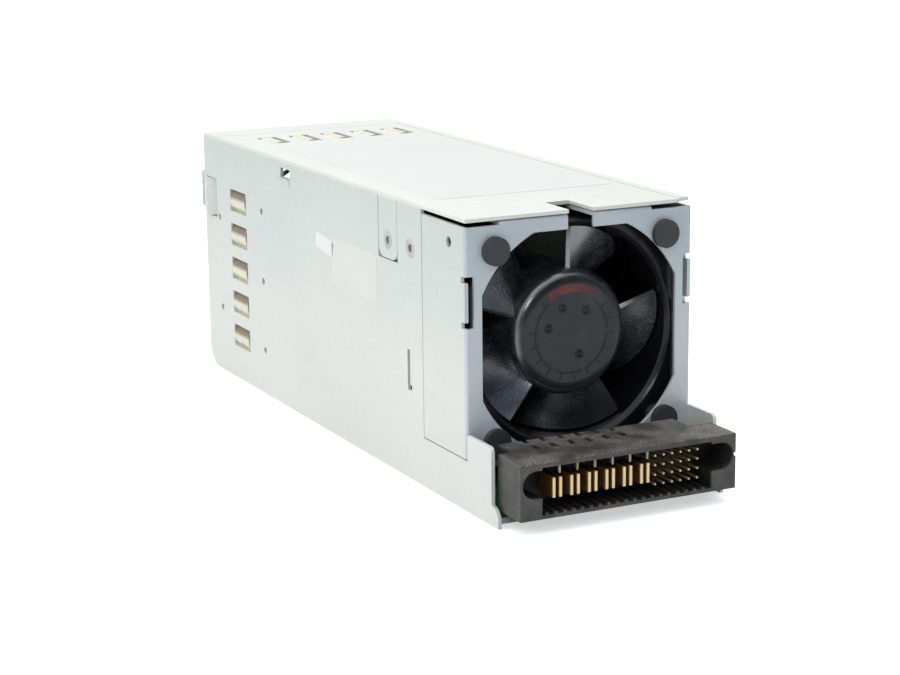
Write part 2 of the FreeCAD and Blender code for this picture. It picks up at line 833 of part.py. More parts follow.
def nut_plates():
    """Threaded strips behind the walls, one on each side, that the side screws bite into."""
    low, high = "plate_y + case_screw_start - nut_plate_margin", "tongue_high_y"
    tongue_y = "tongue_low_y + tongue_width / 2"
    plates = []
    for side, start, end in (("left", "-inner_half", "nut_plate_thick - inner_half"),
                             ("right", "inner_half - nut_plate_thick", "inner_half")):
        strip = box(f"nut_plate_{side}_strip",
                    (start, low, "tongue_screw_height - nut_plate_margin"),
                    (end, high, "tongue_screw_height + nut_plate_margin"))
        holes = [rod(f"nut_plate_{side}_hole_{number}", "x", (start, place, "tongue_screw_height"),
                     "side_screw_radius + fit_gap", "nut_plate_thick")
                 for number, place in enumerate(("plate_y + case_screw_start", tongue_y))]
        plates.append(cut(f"nut_plate_{side}", strip, holes))
    keep(group("nut_plates", plates), "nut_plates")


def side_screws():
    """Flat-headed screws: two on the left, one on the right."""
    screws = []
    tongue_y = "tongue_low_y + tongue_width / 2"
    case_y = "plate_y + case_screw_start"
    for number, (side, place) in enumerate((("left", tongue_y), ("left", case_y), ("right", case_y))):
        height = "tongue_screw_height"
        if side == "left":
            head = cone(f"screw_head_{number}", "x", ("-half_width", place, height),
                        "side_screw_head", "side_screw_radius", "side_screw_sink")
            stem = rod(f"screw_stem_{number}", "x", ("-half_width", place, height),
                       "side_screw_radius", "side_screw_length")
        else:
            head = cone(f"screw_head_{number}", "x", ("half_width - side_screw_sink", place, height),
                        "side_screw_radius", "side_screw_head", "side_screw_sink")
            stem = rod(f"screw_stem_{number}", "x", ("half_width - side_screw_length", place, height),
                       "side_screw_radius", "side_screw_length")
        screws.append(fuse(f"side_screw_{number}", [head, stem]))
    keep(group("side_screws", screws), "side_screws")


# ---- The fan end ------------------------------------------------------------------------------

def fan_bracket():
    """Folded plate that carries the fan: flanges into the walls, tabs under the cover."""
    body = new_body("fan_bracket_body")
    slab(body, "y", ("-half_width", "flange_bottom"), ("half_width", "plate_top"),
         "plate_y", "plate_y + sheet")
    slab(body, "y", ("seam - inner_half", "plate_bottom"), ("inner_half - seam", "flange_bottom"),
         "plate_y", "plate_y + sheet")
    for start in ("-half_width", "inner_half"):
        slab(body, "x", ("plate_y", "flange_bottom"), ("plate_y + flange_depth", "plate_top"),
             start, f"{start} + sheet")
    for left, right in (("-tab_inner - tab_left", "-tab_inner"), ("tab_inner", "tab_inner + tab_right")):
        slab(body, "y", (left, "plate_top - sheet"), (right, "tab_top"), "plate_y", "plate_y + sheet")
        slab(body, "z", (left, "plate_y"), (right, "plate_y + tab_depth"), "tab_top - sheet", "tab_top")
    front, half, tab_top = size("plate_y"), size("half_width"), size("tab_top")

    def bend(edge):
        upright = along(edge, "z") and near(abs(edge.CenterOfMass.x), half)
        level = along(edge, "x") and near(edge.CenterOfMass.z, tab_top)
        return (upright or level) and near(edge.CenterOfMass.y, front)

    soften(body, "plate_bend", bend)

    # the plate's edge is cut away around a straight tab of each flange
    low, high = "side_notch_bottom", "side_notch_bottom + side_notch_height"
    for left, right in (("-half_width", "side_notch_depth - half_width"),
                        ("half_width - side_notch_depth", "half_width")):
        window(body, "y", (left, low), (right, high), "plate_y", "plate_y + side_notch_depth")
    for start in ("-half_width", "inner_half"):
        slab(body, "x", ("plate_y + seam", f"{low} + side_tab_margin"),
             ("plate_y + side_notch_depth", f"{high} - side_tab_margin"), start, f"{start} + sheet")

    # the notch over the opening, the holes for the rubber rivets and for the flange
    window(body, "y", ("-tab_inner", "fan_axis_height"), ("tab_inner", "tab_top"),
           "plate_y", "plate_y + sheet")
    drill(body, "x", [("plate_y + flange_hole_start", "flange_hole_height")], "flange_hole_radius",
          "-half_width", "half_width")
    corner = "fan_hole_pitch / 2"
    drill(body, "y", [(f"{across} {corner}", f"fan_axis_height {up} {corner}")
                      for across in "-+" for up in "-+"],
          "fan_hole_radius", "plate_y", "plate_y + sheet")

    # the opening is a square whose corners follow a circle
    square = box("opening_square",
                 ("-opening_width / 2", "plate_y", "fan_axis_height - opening_width / 2"),
                 ("opening_width / 2", "plate_y + sheet", "fan_axis_height + opening_width / 2"))
    disc = rod("opening_disc", "y", ("0", "plate_y", "fan_axis_height"), "opening_radius", "sheet")
    opening = common("fan_opening", [square, disc])
    keep(cut("fan_bracket", body, [opening]), "fan_bracket")


def fan_isolators():
    """Rubber rivets: head in front, collar between plate and fan, bulge behind the fan's flange."""
    body = new_body("fan_isolator_body")
    sketch = sketch_on(body, "x", "-fan_hole_pitch / 2", "fan_axis_height - fan_hole_pitch / 2")
    neck = "fan_hole_radius - fit_gap"
    head = "plate_y - isolator_head_rise"
    tail = "fan_front_y + fan_flange"
    outline(sketch, [(head, "0"), (head, "isolator_head"), ("plate_y", "isolator_head"), ("plate_y", neck),
                     ("plate_y + sheet", neck), ("plate_y + sheet", "bulge_radius"),
                     ("fan_front_y", "bulge_radius"), ("fan_front_y", neck), (tail, neck), (tail, "bulge_radius"),
                     (f"{tail} + bulge_length", neck), (f"{tail} + bulge_length", "0")])
    feature = body.newObject("PartDesign::Revolution", "isolator_turn")
    feature.Profile = sketch
    feature.ReferenceAxis = (sketch, ["H_Axis"])
    feature.Angle = 360
    grid = sketch_on(body, "y", "plate_y")
    in_grid(body, [feature], grid, ("fan_hole_pitch", "2"), ("fan_hole_pitch", "2"))
    keep(body, "fan_isolators")


def fan_frame():
    """Moulded frame: two square flanges joined by a tube, with the motor's base on four struts."""
    body = new_body("fan_frame_body")
    low, high = "fan_axis_height - fan_half", "fan_axis_height + fan_half"
    for start in ("fan_front_y", "fan_rear_y - fan_flange"):
        slab(body, "y", ("-fan_half", low), ("fan_half", high), start, f"{start} + fan_flange")
    sketch = sketch_on(body, "y", "fan_front_y")
    circle(sketch, ("0", "fan_axis_height"), "fan_half")
    pad(body, sketch, "y", "fan_depth")
    half, axis = size("fan_half"), size("fan_axis_height")

    def flange_corner(edge):
        middle = edge.CenterOfMass
        return along(edge, "y") and near(abs(middle.x), half) and near(abs(middle.z - axis), half)

    soften(body, "fan_corner", flange_corner)
    drill(body, "y", [("0", "fan_axis_height")], "fan_bore / 2", "fan_front_y", "fan_rear_y")
    bore, front = size("fan_bore") / 2, size("fan_front_y")
    doc.recompute()

    def mouth(edge):
        if not isinstance(edge.Curve, Part.Circle):
            return False
        return near(edge.Curve.Radius, bore) and near(edge.CenterOfMass.y, front)

    bevel(body, "fan_half - fan_bore / 2 - seam", mouth)
    corner = "fan_hole_pitch / 2"
    drill(body, "y", [(f"{across} {corner}", f"fan_axis_height {up} {corner}")
                      for across in "-+" for up in "-+"],
          "fan_hole_radius", "fan_front_y", "fan_front_y + fan_flange")

    # the motor's base, its bearing tube and the struts that carry it
    sketch = sketch_on(body, "y", "motor_base_y", "fan_axis_height")
    circle(sketch, ("0", "0"), "motor_base_radius")
    pad(body, sketch, "y", "motor_base_thick")
    arm = sketch_on(body, "y", "motor_base_y", "fan_axis_height")
    rectangle(arm, ("0", "-strut_width / 2"), ("fan_bore / 2 + seam", "strut_width / 2"))
    strut = pad(body, arm, "y", "motor_base_thick")
    around(body, [strut], arm, "N_Axis", "strut_count")
    tube = sketch_on(body, "y", "rotor_front_y + hub_wall + bearing_width", "fan_axis_height")
    circle(tube, ("0", "0"), "bearing_radius + tube_wall")
    pad(body, tube, "y", "motor_base_y - (rotor_front_y + hub_wall + bearing_width)")
    drill(body, "y", [("0", "fan_axis_height")], "bearing_radius",
          "rotor_front_y + hub_wall + bearing_width", "fan_rear_y - sheet")
    keep(body, "fan_frame")


def fan_rotor():
    """Domed hub cup and five twisted blades trimmed to the bore."""
    body = new_body("fan_rotor_body")
    profile = sketch_on(body, "x", "0", "fan_axis_height")
    outline(profile, [("rotor_front_y", "0"), ("rotor_front_y", "hub_radius"), ("rotor_rear_y", "hub_radius"),
                      ("rotor_rear_y", "0")])
    hub = body.newObject("PartDesign::Revolution", "hub_turn")
    hub.Profile = profile
    hub.ReferenceAxis = (profile, ["H_Axis"])
    hub.Angle = 360
    front = size("rotor_front_y")

    def rim(edge):
        return isinstance(edge.Curve, Part.Circle) and near(edge.CenterOfMass.y, front)

    soften(body, "hub_radius - hub_face_radius", rim)

    # one blade is a loft between two curved sections, well inside the hub and beyond the tip
    sections = []
    for reach, half in (("blade_root_reach", "blade_half_root"), ("fan_half", "blade_half_tip")):
        sections.append(blade_section(body, reach, half))
    blade = body.newObject("PartDesign::AdditiveLoft", "blade_loft")
    blade.Profile = sections[0]
    blade.Sections = sections[1:]
    blade.Ruled = True
    around(body, [blade], profile, "H_Axis", "blade_count")

    # the cup is hollow behind its face
    hollow = sketch_on(body, "x", "0", "fan_axis_height")
    rectangle(hollow, ("rotor_front_y + hub_wall", "0"), ("rotor_rear_y", "hub_radius - hub_wall"))
    groove = body.newObject("PartDesign::Groove", "hub_hollow")
    groove.Profile = hollow
    groove.ReferenceAxis = (hollow, ["H_Axis"])
    groove.Angle = 360
    boss = sketch_on(body, "y", "rotor_front_y + hub_wall / 2", "fan_axis_height")
    circle(boss, ("0", "0"), "bearing_radius")
    pad(body, boss, "y", "2 * hub_wall")
    drill(body, "y", [("0", "fan_axis_height")], "shaft_radius", "rotor_front_y + hub_wall",
          "rotor_front_y + 2.5 * hub_wall")
    trim = rod("blade_trim", "y", ("0", "rotor_front_y", "fan_axis_height"),
               "fan_bore / 2 - blade_tip_gap", "rotor_length")
    rotor = keep(common("fan_rotor", [body, trim]), "fan_rotor")
    turn = FreeCAD.Rotation(FreeCAD.Vector(0, 1, 0), size("rotor_turn"))
    centre = FreeCAD.Vector(0, 0, size("fan_axis_height"))
    rotor.Placement = FreeCAD.Placement(FreeCAD.Vector(), turn, centre)


def blade_section(body, reach, half):
    """A thin curved section across one radius, from the leading edge back to the trailing edge."""
    sketch = sketch_on(body, "z", f"fan_axis_height + {reach}")
    lead_y = size("rotor_front_y") + size("blade_setback")
    trail_y = lead_y + size("blade_axial")
    spread = size(half)
    bow = size("blade_camber")
    thick = size("blade_thick")
    lead = FreeCAD.Vector(-spread, lead_y, 0)
    trail = FreeCAD.Vector(spread, trail_y, 0)
    chord = trail - lead
    side = chord.cross(FreeCAD.Vector(0, 0, 1)).normalize()
    sagitta = bow - (bow ** 2 - (chord.Length / 2) ** 2) ** 0.5
    middle = (lead + trail) * 0.5 + side * sagitta
    skin = side * thick
    corners = [lead, trail, trail + skin, lead + skin]
    sketch.addGeometry(Part.Arc(corners[0], middle, corners[1]))
    sketch.addGeometry(Part.LineSegment(corners[1], corners[2]))
    sketch.addGeometry(Part.Arc(corners[3], middle + skin, corners[2]))
    sketch.addGeometry(Part.LineSegment(corners[3], corners[0]))
    return sketch


def fan_motor():
    """Shaft, bearings, magnet ring and stator inside the hub."""
    axis = "fan_axis_height"
    tube_y = "rotor_front_y + hub_wall + bearing_width"
    keep(rod("shaft", "y", ("0", "rotor_front_y + hub_wall", axis), "shaft_radius - fit_gap / 2",
             "fan_rear_y - sheet - seam - (rotor_front_y + hub_wall)"), "fan_shaft")
    pair = [ring(f"bearing_{number}", "y", ("0", start, axis), "bearing_radius - fit_gap / 2",
                 "shaft_radius + fit_gap / 2", "bearing_width")
            for number, start in enumerate((tube_y, "motor_base_y - bearing_width"))]
    keep(group("fan_bearings", pair), "fan_bearings")
    keep(ring("magnets", "y", ("0", f"{tube_y}", axis), "hub_radius - hub_wall",
              "hub_radius - hub_wall - magnet_thick", "magnet_length"), "magnet_ring")

    body = new_body("fan_stator_body")
    sketch = sketch_on(body, "y", f"{tube_y} + sheet", axis)
    circle(sketch, ("0", "0"), "stator_radius")
    circle(sketch, ("0", "0"), "bearing_radius + tube_wall + fit_gap")
    pad(body, sketch, "y", "stator_length")
    slot = sketch_on(body, "y", f"{tube_y} + sheet", axis)
    rectangle(slot, ("stator_core", "-stator_slot / 2"), ("stator_radius + seam", "stator_slot / 2"))
    first = pocket(body, slot, "y", "stator_length")
    around(body, [first], slot, "N_Axis", "stator_slot_count")
    keep(body, "fan_stator")


# ---- The blade connector ----------------------------------------------------------------------

def pair_centre():
    """Middle of the first pair of power blades, to the left of the centre line."""
    return "-blade_first + blade_spread / 2"


def connector_housing():
    """Moulded block with a long cavity, guide pockets at its ends and slots for every contact."""
    body = new_body("connector_body")
    slab(body, "y", ("-connector_half", "connector_bottom"), ("connector_half", "connector_top"),
         "connector_front_y", "connector_step_y")
    slab(body, "y", ("-connector_rear_left", "board_top"), ("connector_rear_right", "connector_top"),
         "connector_step_y", "connector_rear_y")
    window(body, "y", ("-cavity_left", "cavity_bottom"), ("cavity_right", "cavity_top"),
           "connector_front_y", "cavity_back_y")
    # guide pockets, each a half round that opens into the cavity
    drill(body, "y", [("-guide_offset", "guide_height"), ("guide_offset", "guide_height")],
          "guide_radius", "connector_front_y", "cavity_back_y")
    low, high = "guide_height - guide_radius", "guide_height + guide_radius"
    for left, right in (("-guide_offset", "-cavity_left"), ("cavity_right", "guide_offset")):
        window(body, "y", (left, low), (right, high), "connector_front_y", "cavity_back_y")
    window(body, "y", ("guide_offset", "guide_height - guide_slit / 2"),
           ("connector_half", "guide_height + guide_slit / 2"), "connector_front_y",
           "connector_front_y + guide_slit_depth")

    # slots through the back wall for the blades and the pins
    sketch = sketch_on(body, "y", "cavity_back_y")
    half = "blade_height / 2 + fit_gap"
    for side in "-+":
        middle = f"{pair_centre()} {side} blade_spread / 2"
        rectangle(sketch, (f"{middle} - blade_plate / 2 - fit_gap", f"contact_height - ({half})"),
                  (f"{middle} + blade_plate / 2 + fit_gap", f"contact_height + {half}"))
    first = pocket(body, sketch, "y", "connector_rear_y - cavity_back_y")
    in_row(body, [first], sketch, "H_Axis", "blade_pitch", "pair_count")
    sketch = sketch_on(body, "y", "cavity_back_y")
    reach = "pin_size / 2 + fit_gap"
    rectangle(sketch, (f"pin_first - ({reach})", f"{pin_height('0')} - ({reach})"),
              (f"pin_first + {reach}", f"{pin_height('0')} + {reach}"))
    first = pocket(body, sketch, "y", "connector_rear_y - cavity_back_y")
    in_grid(body, [first], sketch, ("pin_pitch", "pin_columns"), ("pin_pitch", "pin_rows"))

    # cooling slots over the power contacts
    row_y = "connector_front_y + vent_setback"
    sketch = sketch_on(body, "z", "connector_top - vent_depth")
    rectangle(sketch, (f"{pair_centre()} - vent_width / 2", row_y),
              (f"{pair_centre()} + vent_width / 2", f"{row_y} + vent_length"))
    first = pocket(body, sketch, "z", "vent_depth")
    in_grid(body, [first], sketch, ("blade_pitch", "pair_count"), ("vent_row_pitch", "2"))

    # ribs on the cavity's roof over each pair, and a comb of low teeth on its floor
    sketch = sketch_on(body, "z", "cavity_top - roof_rib_drop")
    rectangle(sketch, (f"{pair_centre()} - roof_rib_width / 2", "connector_front_y + contact_setback / 2"),
              (f"{pair_centre()} + roof_rib_width / 2", "cavity_back_y"))
    first = pad(body, sketch, "z", "roof_rib_drop")
    in_row(body, [first], sketch, "H_Axis", "blade_pitch", "pair_count")
    sketch = sketch_on(body, "z", "cavity_bottom")
    rectangle(sketch, ("-cavity_left + tooth_width", "connector_front_y"),
              ("-cavity_left + 2 * tooth_width", "cavity_back_y"))
    first = pad(body, sketch, "z", "tooth_rise")
    in_row(body, [first], sketch, "H_Axis", "pin_pitch", "tooth_count")
    keep(body, "connector_housing")


def pin_height(row):
    """Height of a row of pins; row 0 is the lowest."""
    return f"contact_height + ({row} - (pin_rows - 1) / 2) * pin_pitch"


def power_blades():
    """Six pairs of flat blades; each runs back through the housing and down to the board."""
    body = new_body("power_blade_body")
    low, high = "contact_height - blade_height / 2", "contact_height + blade_height / 2"
    tail_y = "connector_rear_y + tail_length"
    pads = []
    for side in "-+":
        sketch = sketch_on(body, "x", f"{pair_centre()} {side} blade_spread / 2 - blade_plate / 2")
        outline(sketch, [("connector_front_y + contact_setback", low), ("connector_rear_y + seam", low),
                         ("connector_rear_y + seam", "board_top"), (tail_y, "board_top"), (tail_y, high),
                         ("connector_front_y + contact_setback", high)])
        pads.append(pad(body, sketch, "x", "blade_plate"))
    across = sketch_on(body, "y", "connector_front_y")
    in_row(body, pads, across, "H_Axis", "blade_pitch", "pair_count")
    keep(body, "power_blades")


def signal_pins():
    """Four rows of square pins; each row turns down to the board behind the row below it."""
    body = new_body("signal_pin_body")
    pads = []
    half = "pin_size / 2"
    for row in range(int(size("pin_rows"))):
        height = pin_height(row)
        drop = f"connector_rear_y + seam + {row} * (pin_size + seam)"
        sketch = sketch_on(body, "x", f"pin_first - {half}")
        tip = "connector_front_y + pin_setback"
        outline(sketch, [(tip, f"{height} - {half}"), (drop, f"{height} - {half}"), (drop, "board_top"),
                         (f"{drop} + pin_size", "board_top"), (f"{drop} + pin_size", f"{height} + {half}"),
                         (tip, f"{height} + {half}")])
        pads.append(pad(body, sketch, "x", "pin_size"))
    across = sketch_on(body, "y", "connector_front_y")
    in_row(body, pads, across, "H_Axis", "pin_pitch", "pin_columns")
    keep(body, "signal_pins")


# ---- The mains end ----------------------------------------------------------------------------

def rear_panel():
    """End plate with a rolled foot, a flange under the cover's end and a honeycomb of vents."""
    body = new_body("rear_panel_body")
    sketch = sketch_on(body, "x", "-panel_half")
    inner = "rear_y - sheet"
    foot = "rear_y - foot_length + seam"
    outline(sketch, [("rear_y", "cover_under"), ("rear_y", "0"), (foot, "0"), (foot, "sheet"),
                     (inner, "sheet"), (inner, "cover_under")])
    pad(body, sketch, "x", "2 * panel_half")
    soften(body, "corner_bend", edge_at("x", y=size("rear_y"), z=0))
    soften(body, "corner_bend - sheet", edge_at("x", y=size("rear_y") - size("sheet"), z=size("sheet")))
    slab(body, "z", ("-half_width", "cover_end_y + seam"), ("half_width", "rear_y"),
         "cover_under", "case_height")
    for start, end in (("-panel_half", "sheet - panel_half"), ("panel_half - sheet", "panel_half")):
        slab(body, "x", ("rear_y - panel_flange", "panel_flange_bottom"), ("rear_y", "panel_flange_top"),
             start, end)

    # the honeycomb: two staggered cells repeated over columns and pairs of rows
    sketch = sketch_on(body, "y", "rear_y - sheet")
    for shift in ("0", "0.5"):
        hexagon(sketch, f"-vent_hex_left + {shift} * vent_hex_pitch",
                f"vent_hex_bottom + {shift} * vent_hex_rise")
    first = pocket(body, sketch, "y", "sheet")
    in_grid(body, [first], sketch, ("vent_hex_pitch", "vent_hex_columns"),
            ("vent_hex_rise", "vent_hex_rows"))

    # openings for the inlet, the latch and the status lamp
    half = "inlet_body_height / 2 + fit_gap"
    window(body, "y", ("inlet_offset - inlet_body_width / 2 - fit_gap", f"inlet_height - ({half})"),
           ("inlet_offset + inlet_body_width / 2 + fit_gap", f"inlet_height + {half}"),
           "rear_y - sheet", "rear_y")
    window(body, "y", ("-half_width", "latch_low - seam"), ("-latch_slot_right", "latch_high + seam"),
           "rear_y - sheet", "rear_y")
    drill(body, "y", [("-lamp_offset", "lamp_height")], "lamp_radius + fit_gap", "rear_y - sheet", "rear_y")
    keep(body, "rear_panel")


def hexagon(sketch, across, up):
    """A cell with upright sides around a centre."""
    half, rise = "vent_hex_radius * sqrt(3) / 2", "vent_hex_radius / 2"
    outline(sketch, [(f"{across} + {half}", f"{up} - {rise}"), (f"{across} + {half}", f"{up} + {rise}"),
                     (across, f"{up} + vent_hex_radius"), (f"{across} - {half}", f"{up} + {rise}"),
                     (f"{across} - {half}", f"{up} - {rise}"), (across, f"{up} - vent_hex_radius")])


def ac_inlet():
    """Three-pole mains inlet: flange outside the panel, body inside, cavity with two cut corners."""
    body = new_body("ac_inlet_body")
    slab(body, "y", ("inlet_offset - inlet_flange_width / 2", "inlet_height - inlet_flange_height / 2"),
         ("inlet_offset + inlet_flange_width / 2", "inlet_height + inlet_flange_height / 2"),
         "rear_y", "inlet_front_y")
    doc.recompute()
    soften(body, "inlet_flange_thick", lambda edge: along(edge, "y"))
    slab(body, "y", ("inlet_offset - inlet_body_width / 2", "inlet_height - inlet_body_height / 2"),
         ("inlet_offset + inlet_body_width / 2", "inlet_height + inlet_body_height / 2"),
         "inlet_back_y", "rear_y")
    sketch = sketch_on(body, "y", "cavity_end_y")
    wide, tall = "inlet_cavity_width / 2", "inlet_cavity_height / 2"
    left, right = f"inlet_offset - {wide}", f"inlet_offset + {wide}"
    low, high = f"inlet_height - {tall}", f"inlet_height + {tall}"
    outline(sketch, [(left, low), (right, low), (right, f"{high} - inlet_corner"),
                     (f"{right} - inlet_corner", high), (f"{left} + inlet_corner", high),
                     (left, f"{high} - inlet_corner")])
    pocket(body, sketch, "y", "inlet_cavity_depth")
    wide, tall = "inlet_pin_width / 2 + fit_gap", "inlet_pin_height / 2 + fit_gap"
    for across, up in inlet_poles():
        window(body, "y", (f"{across} - ({wide})", f"{up} - ({tall})"),
               (f"{across} + {wide}", f"{up} + {tall}"), "inlet_back_y", "cavity_end_y")
    keep(body, "ac_inlet")


def inlet_poles():
    """Centres of the three pins; the earth pin stands above the other two."""
    low = "inlet_height - inlet_pin_rise / 2"
    return [("inlet_offset - inlet_pin_spread", low), ("inlet_offset + inlet_pin_spread", low),
            ("inlet_offset", "inlet_height + inlet_pin_rise / 2")]


def inlet_pins():
    pins = []
    for number, (across, up) in enumerate(inlet_poles()):
        wide, tall = "inlet_pin_width / 2", "inlet_pin_height / 2"
        pins.append(box(f"inlet_pin_{number}",
                        (f"{across} - {wide}", "inlet_back_y - inlet_tail", f"{up} - {tall}"),
                        (f"{across} + {wide}", "cavity_end_y + inlet_pin_length", f"{up} + {tall}")))
    keep(group("inlet_pins", pins), "inlet_pins")


def status_lamp():
    """Light pipe with a small collar outside the panel."""
    pipe = rod("lamp_pipe", "y", ("-lamp_offset", "rear_y - lamp_length", "lamp_height"), "lamp_radius",
               "lamp_length + lamp_rise")
    collar = rod("lamp_collar", "y", ("-lamp_offset", "rear_y", "lamp_height"),
                 "lamp_radius + lamp_rise", "lamp_rise / 2")
    keep(fuse("status_lamp", [pipe, collar]), "status_lamp")


def pull_handle():
    """A moulded bail that folds up against the vents; its feet are drilled for the hinge pins."""
    body = new_body("pull_handle_body")
    near_y = "hinge_y - handle_thick / 2"
    foot, crown = "hinge_height - handle_thick / 2", "hinge_height + handle_length"
    sketch = sketch_on(body, "y", near_y)
    outline(sketch, [("handle_left", foot), ("handle_left + handle_bar", foot),
                     ("handle_left + handle_bar", f"{crown} - handle_bar"),
                     ("handle_right - handle_bar", f"{crown} - handle_bar"),
                     ("handle_right - handle_bar", foot), ("handle_right", foot),
                     ("handle_right", crown), ("handle_left", crown)])
    pad(body, sketch, "y", "handle_thick")
    top, gap = size("hinge_height") + size("handle_length"), size("handle_bar")
    left, right = size("handle_left"), size("handle_right")

    def outer_corner(edge):
        middle = edge.CenterOfMass
        return along(edge, "y") and near(middle.z, top) and (near(middle.x, left) or near(middle.x, right))

    def inner_corner(edge):
        middle = edge.CenterOfMass
        return along(edge, "y") and near(middle.z, top - gap)

    soften(body, "handle_corner", outer_corner)
    soften(body, "handle_bar / 2", inner_corner)
    half = size("handle_thick") / 2
    bottom = size("hinge_height") - half

    def foot_edge(edge):
        return along(edge, "x") and near(edge.CenterOfMass.z, bottom)

    soften(body, "handle_thick / 2 - fit_gap", foot_edge)
    middle_y = size("hinge_y")

    def grip(edge):
        middle = edge.CenterOfMass
        return along(edge, "x") and middle.z > bottom + gap and near(abs(middle.y - middle_y), half)

    bevel(body, "handle_round", grip)
    drill(body, "x", [("hinge_y", "hinge_height")], "hinge_pin_radius + fit_gap",
          "handle_left", "handle_right")
    keep(body, "pull_handle")


def handle_lugs():
    """Two drilled ears on the panel, outside the handle's feet."""
    ears = []
    for number, start in enumerate(("handle_left - seam - lug_thick", "handle_right + seam")):
        plate = box(f"lug_plate_{number}", (start, "rear_y", "hinge_height - lug_radius"),
                    (f"{start} + lug_thick", "hinge_y", "hinge_height + lug_radius"))
        eye = rod(f"lug_eye_{number}", "x", (start, "hinge_y", "hinge_height"), "lug_radius", "lug_thick")
        hole = rod(f"lug_hole_{number}", "x", (start, "hinge_y", "hinge_height"),
                   "hinge_pin_radius + fit_gap", "lug_thick")
        ears.append(cut(f"handle_lug_{number}", fuse(f"lug_{number}", [plate, eye]), [hole]))
    keep(group("handle_lugs", ears), "handle_lugs")


def handle_pins():
    """A headed pin through each ear and foot."""
    pins = []
    length = "lug_thick + seam + handle_bar"
    for number, (start, head) in enumerate((("handle_left - seam - lug_thick", "-hinge_head_rise"),
                                            ("handle_right - handle_bar", length))):
        stem = rod(f"hinge_stem_{number}", "x", (start, "hinge_y", "hinge_height"),
                   "hinge_pin_radius", length)
        cap = rod(f"hinge_head_{number}", "x", (f"{start} + {head}", "hinge_y", "hinge_height"),
                  "hinge_head_radius", "hinge_head_rise")
        pins.append(fuse(f"hinge_pin_{number}", [stem, cap]))
    keep(group("handle_pins", pins), "handle_pins")


def release_latch():
    """Lever on an upright pin: a ramped tooth through the wall and a thumb pad behind the panel."""
    body = new_body("release_latch_body")
    barrel = sketch_on(body, "z", "latch_low")
    circle(barrel, ("-latch_pin_offset", "latch_pin_y"), "latch_barrel")
    pad(body, barrel, "z", "latch_depth")
    arm = sketch_on(body, "z", "latch_low")
    end = "rear_y + latch_reach"
    outer, inner = "-latch_arm_offset", "latch_arm - latch_arm_offset"
    wide = "latch_pad_thick - latch_arm_offset"
    outline(arm, [(outer, "latch_pin_y"), (inner, "latch_pin_y"), (inner, f"{end} - latch_pad_length"),
                  (wide, f"{end} - latch_pad_length"), (wide, end), (outer, end)])
    pad(body, arm, "z", "latch_depth")
    tooth = sketch_on(body, "z", "latch_low")
    reach = "-half_width - latch_tooth_reach"
    front, back = "latch_tooth_y - latch_tooth_length / 2", "latch_tooth_y + latch_tooth_length / 2"
    outline(tooth, [(outer, front), (outer, back), (reach, back), (reach, f"{back} - latch_tooth_reach")])
    pad(body, tooth, "z", "latch_depth")
    drill(body, "z", [("-latch_pin_offset", "latch_pin_y")], "latch_pin_radius + fit_gap",
          "latch_low", "latch_high")
    tip = size("rear_y") + size("latch_reach")

    def pad_edge(edge):
        return along(edge, "z") and near(edge.CenterOfMass.y, tip)

    soften(body, "latch_pad_thick / 3", pad_edge)
    keep(body, "release_latch")


def latch_mount():
    """Channel-shaped bracket behind the panel, the latch's pin and the leaf spring that returns it."""
    body = new_body("latch_bracket_body")
    sketch = sketch_on(body, "y", "latch_pin_y - latch_barrel - sheet")
    low, high = "latch_low - seam", "latch_high + seam"
    left, right = "seam - inner_half", "-latch_bracket_right"
    outline(sketch, [(left, f"{low} - sheet"), (right, f"{low} - sheet"), (right, f"{high} + sheet"),
                     (left, f"{high} + sheet"), (left, high), (f"{right} - sheet", high),
                     (f"{right} - sheet", low), (left, low)])
    pad(body, sketch, "y", "rear_y - sheet - (latch_pin_y - latch_barrel - sheet)")
    drill(body, "z", [("-latch_pin_offset", "latch_pin_y")], "latch_pin_radius + fit_gap",
          f"{low} - sheet", f"{high} + sheet")
    keep(body, "latch_bracket")

    keep(rod("latch_rod", "z", ("-latch_pin_offset", "latch_pin_y", f"{low} - 2 * sheet"), "latch_pin_radius",
             f"{high} + 2 * sheet - ({low} - 2 * sheet)"), "latch_pin")

    spring = new_body("latch_spring_body")
    leaf = sketch_on(spring, "z", "latch_low + sheet")
    web = "-latch_bracket_right - sheet"
    touch = "latch_arm - latch_arm_offset + seam"
    thick = "latch_spring_thick"
    start, end = "latch_pin_y - latch_barrel", "rear_y - 2 * sheet"
    outline(leaf, [(web, start), (web, f"{start} + latch_barrel"), (f"{touch} + {thick}", end), (touch, end),
                   (touch, f"{end} - sheet"), (f"{web} - {thick}", f"{start} + latch_barrel"),
                   (f"{web} - {thick}", start)])
    pad(spring, leaf, "z", "latch_depth - 2 * sheet")
    keep(spring, "latch_spring")


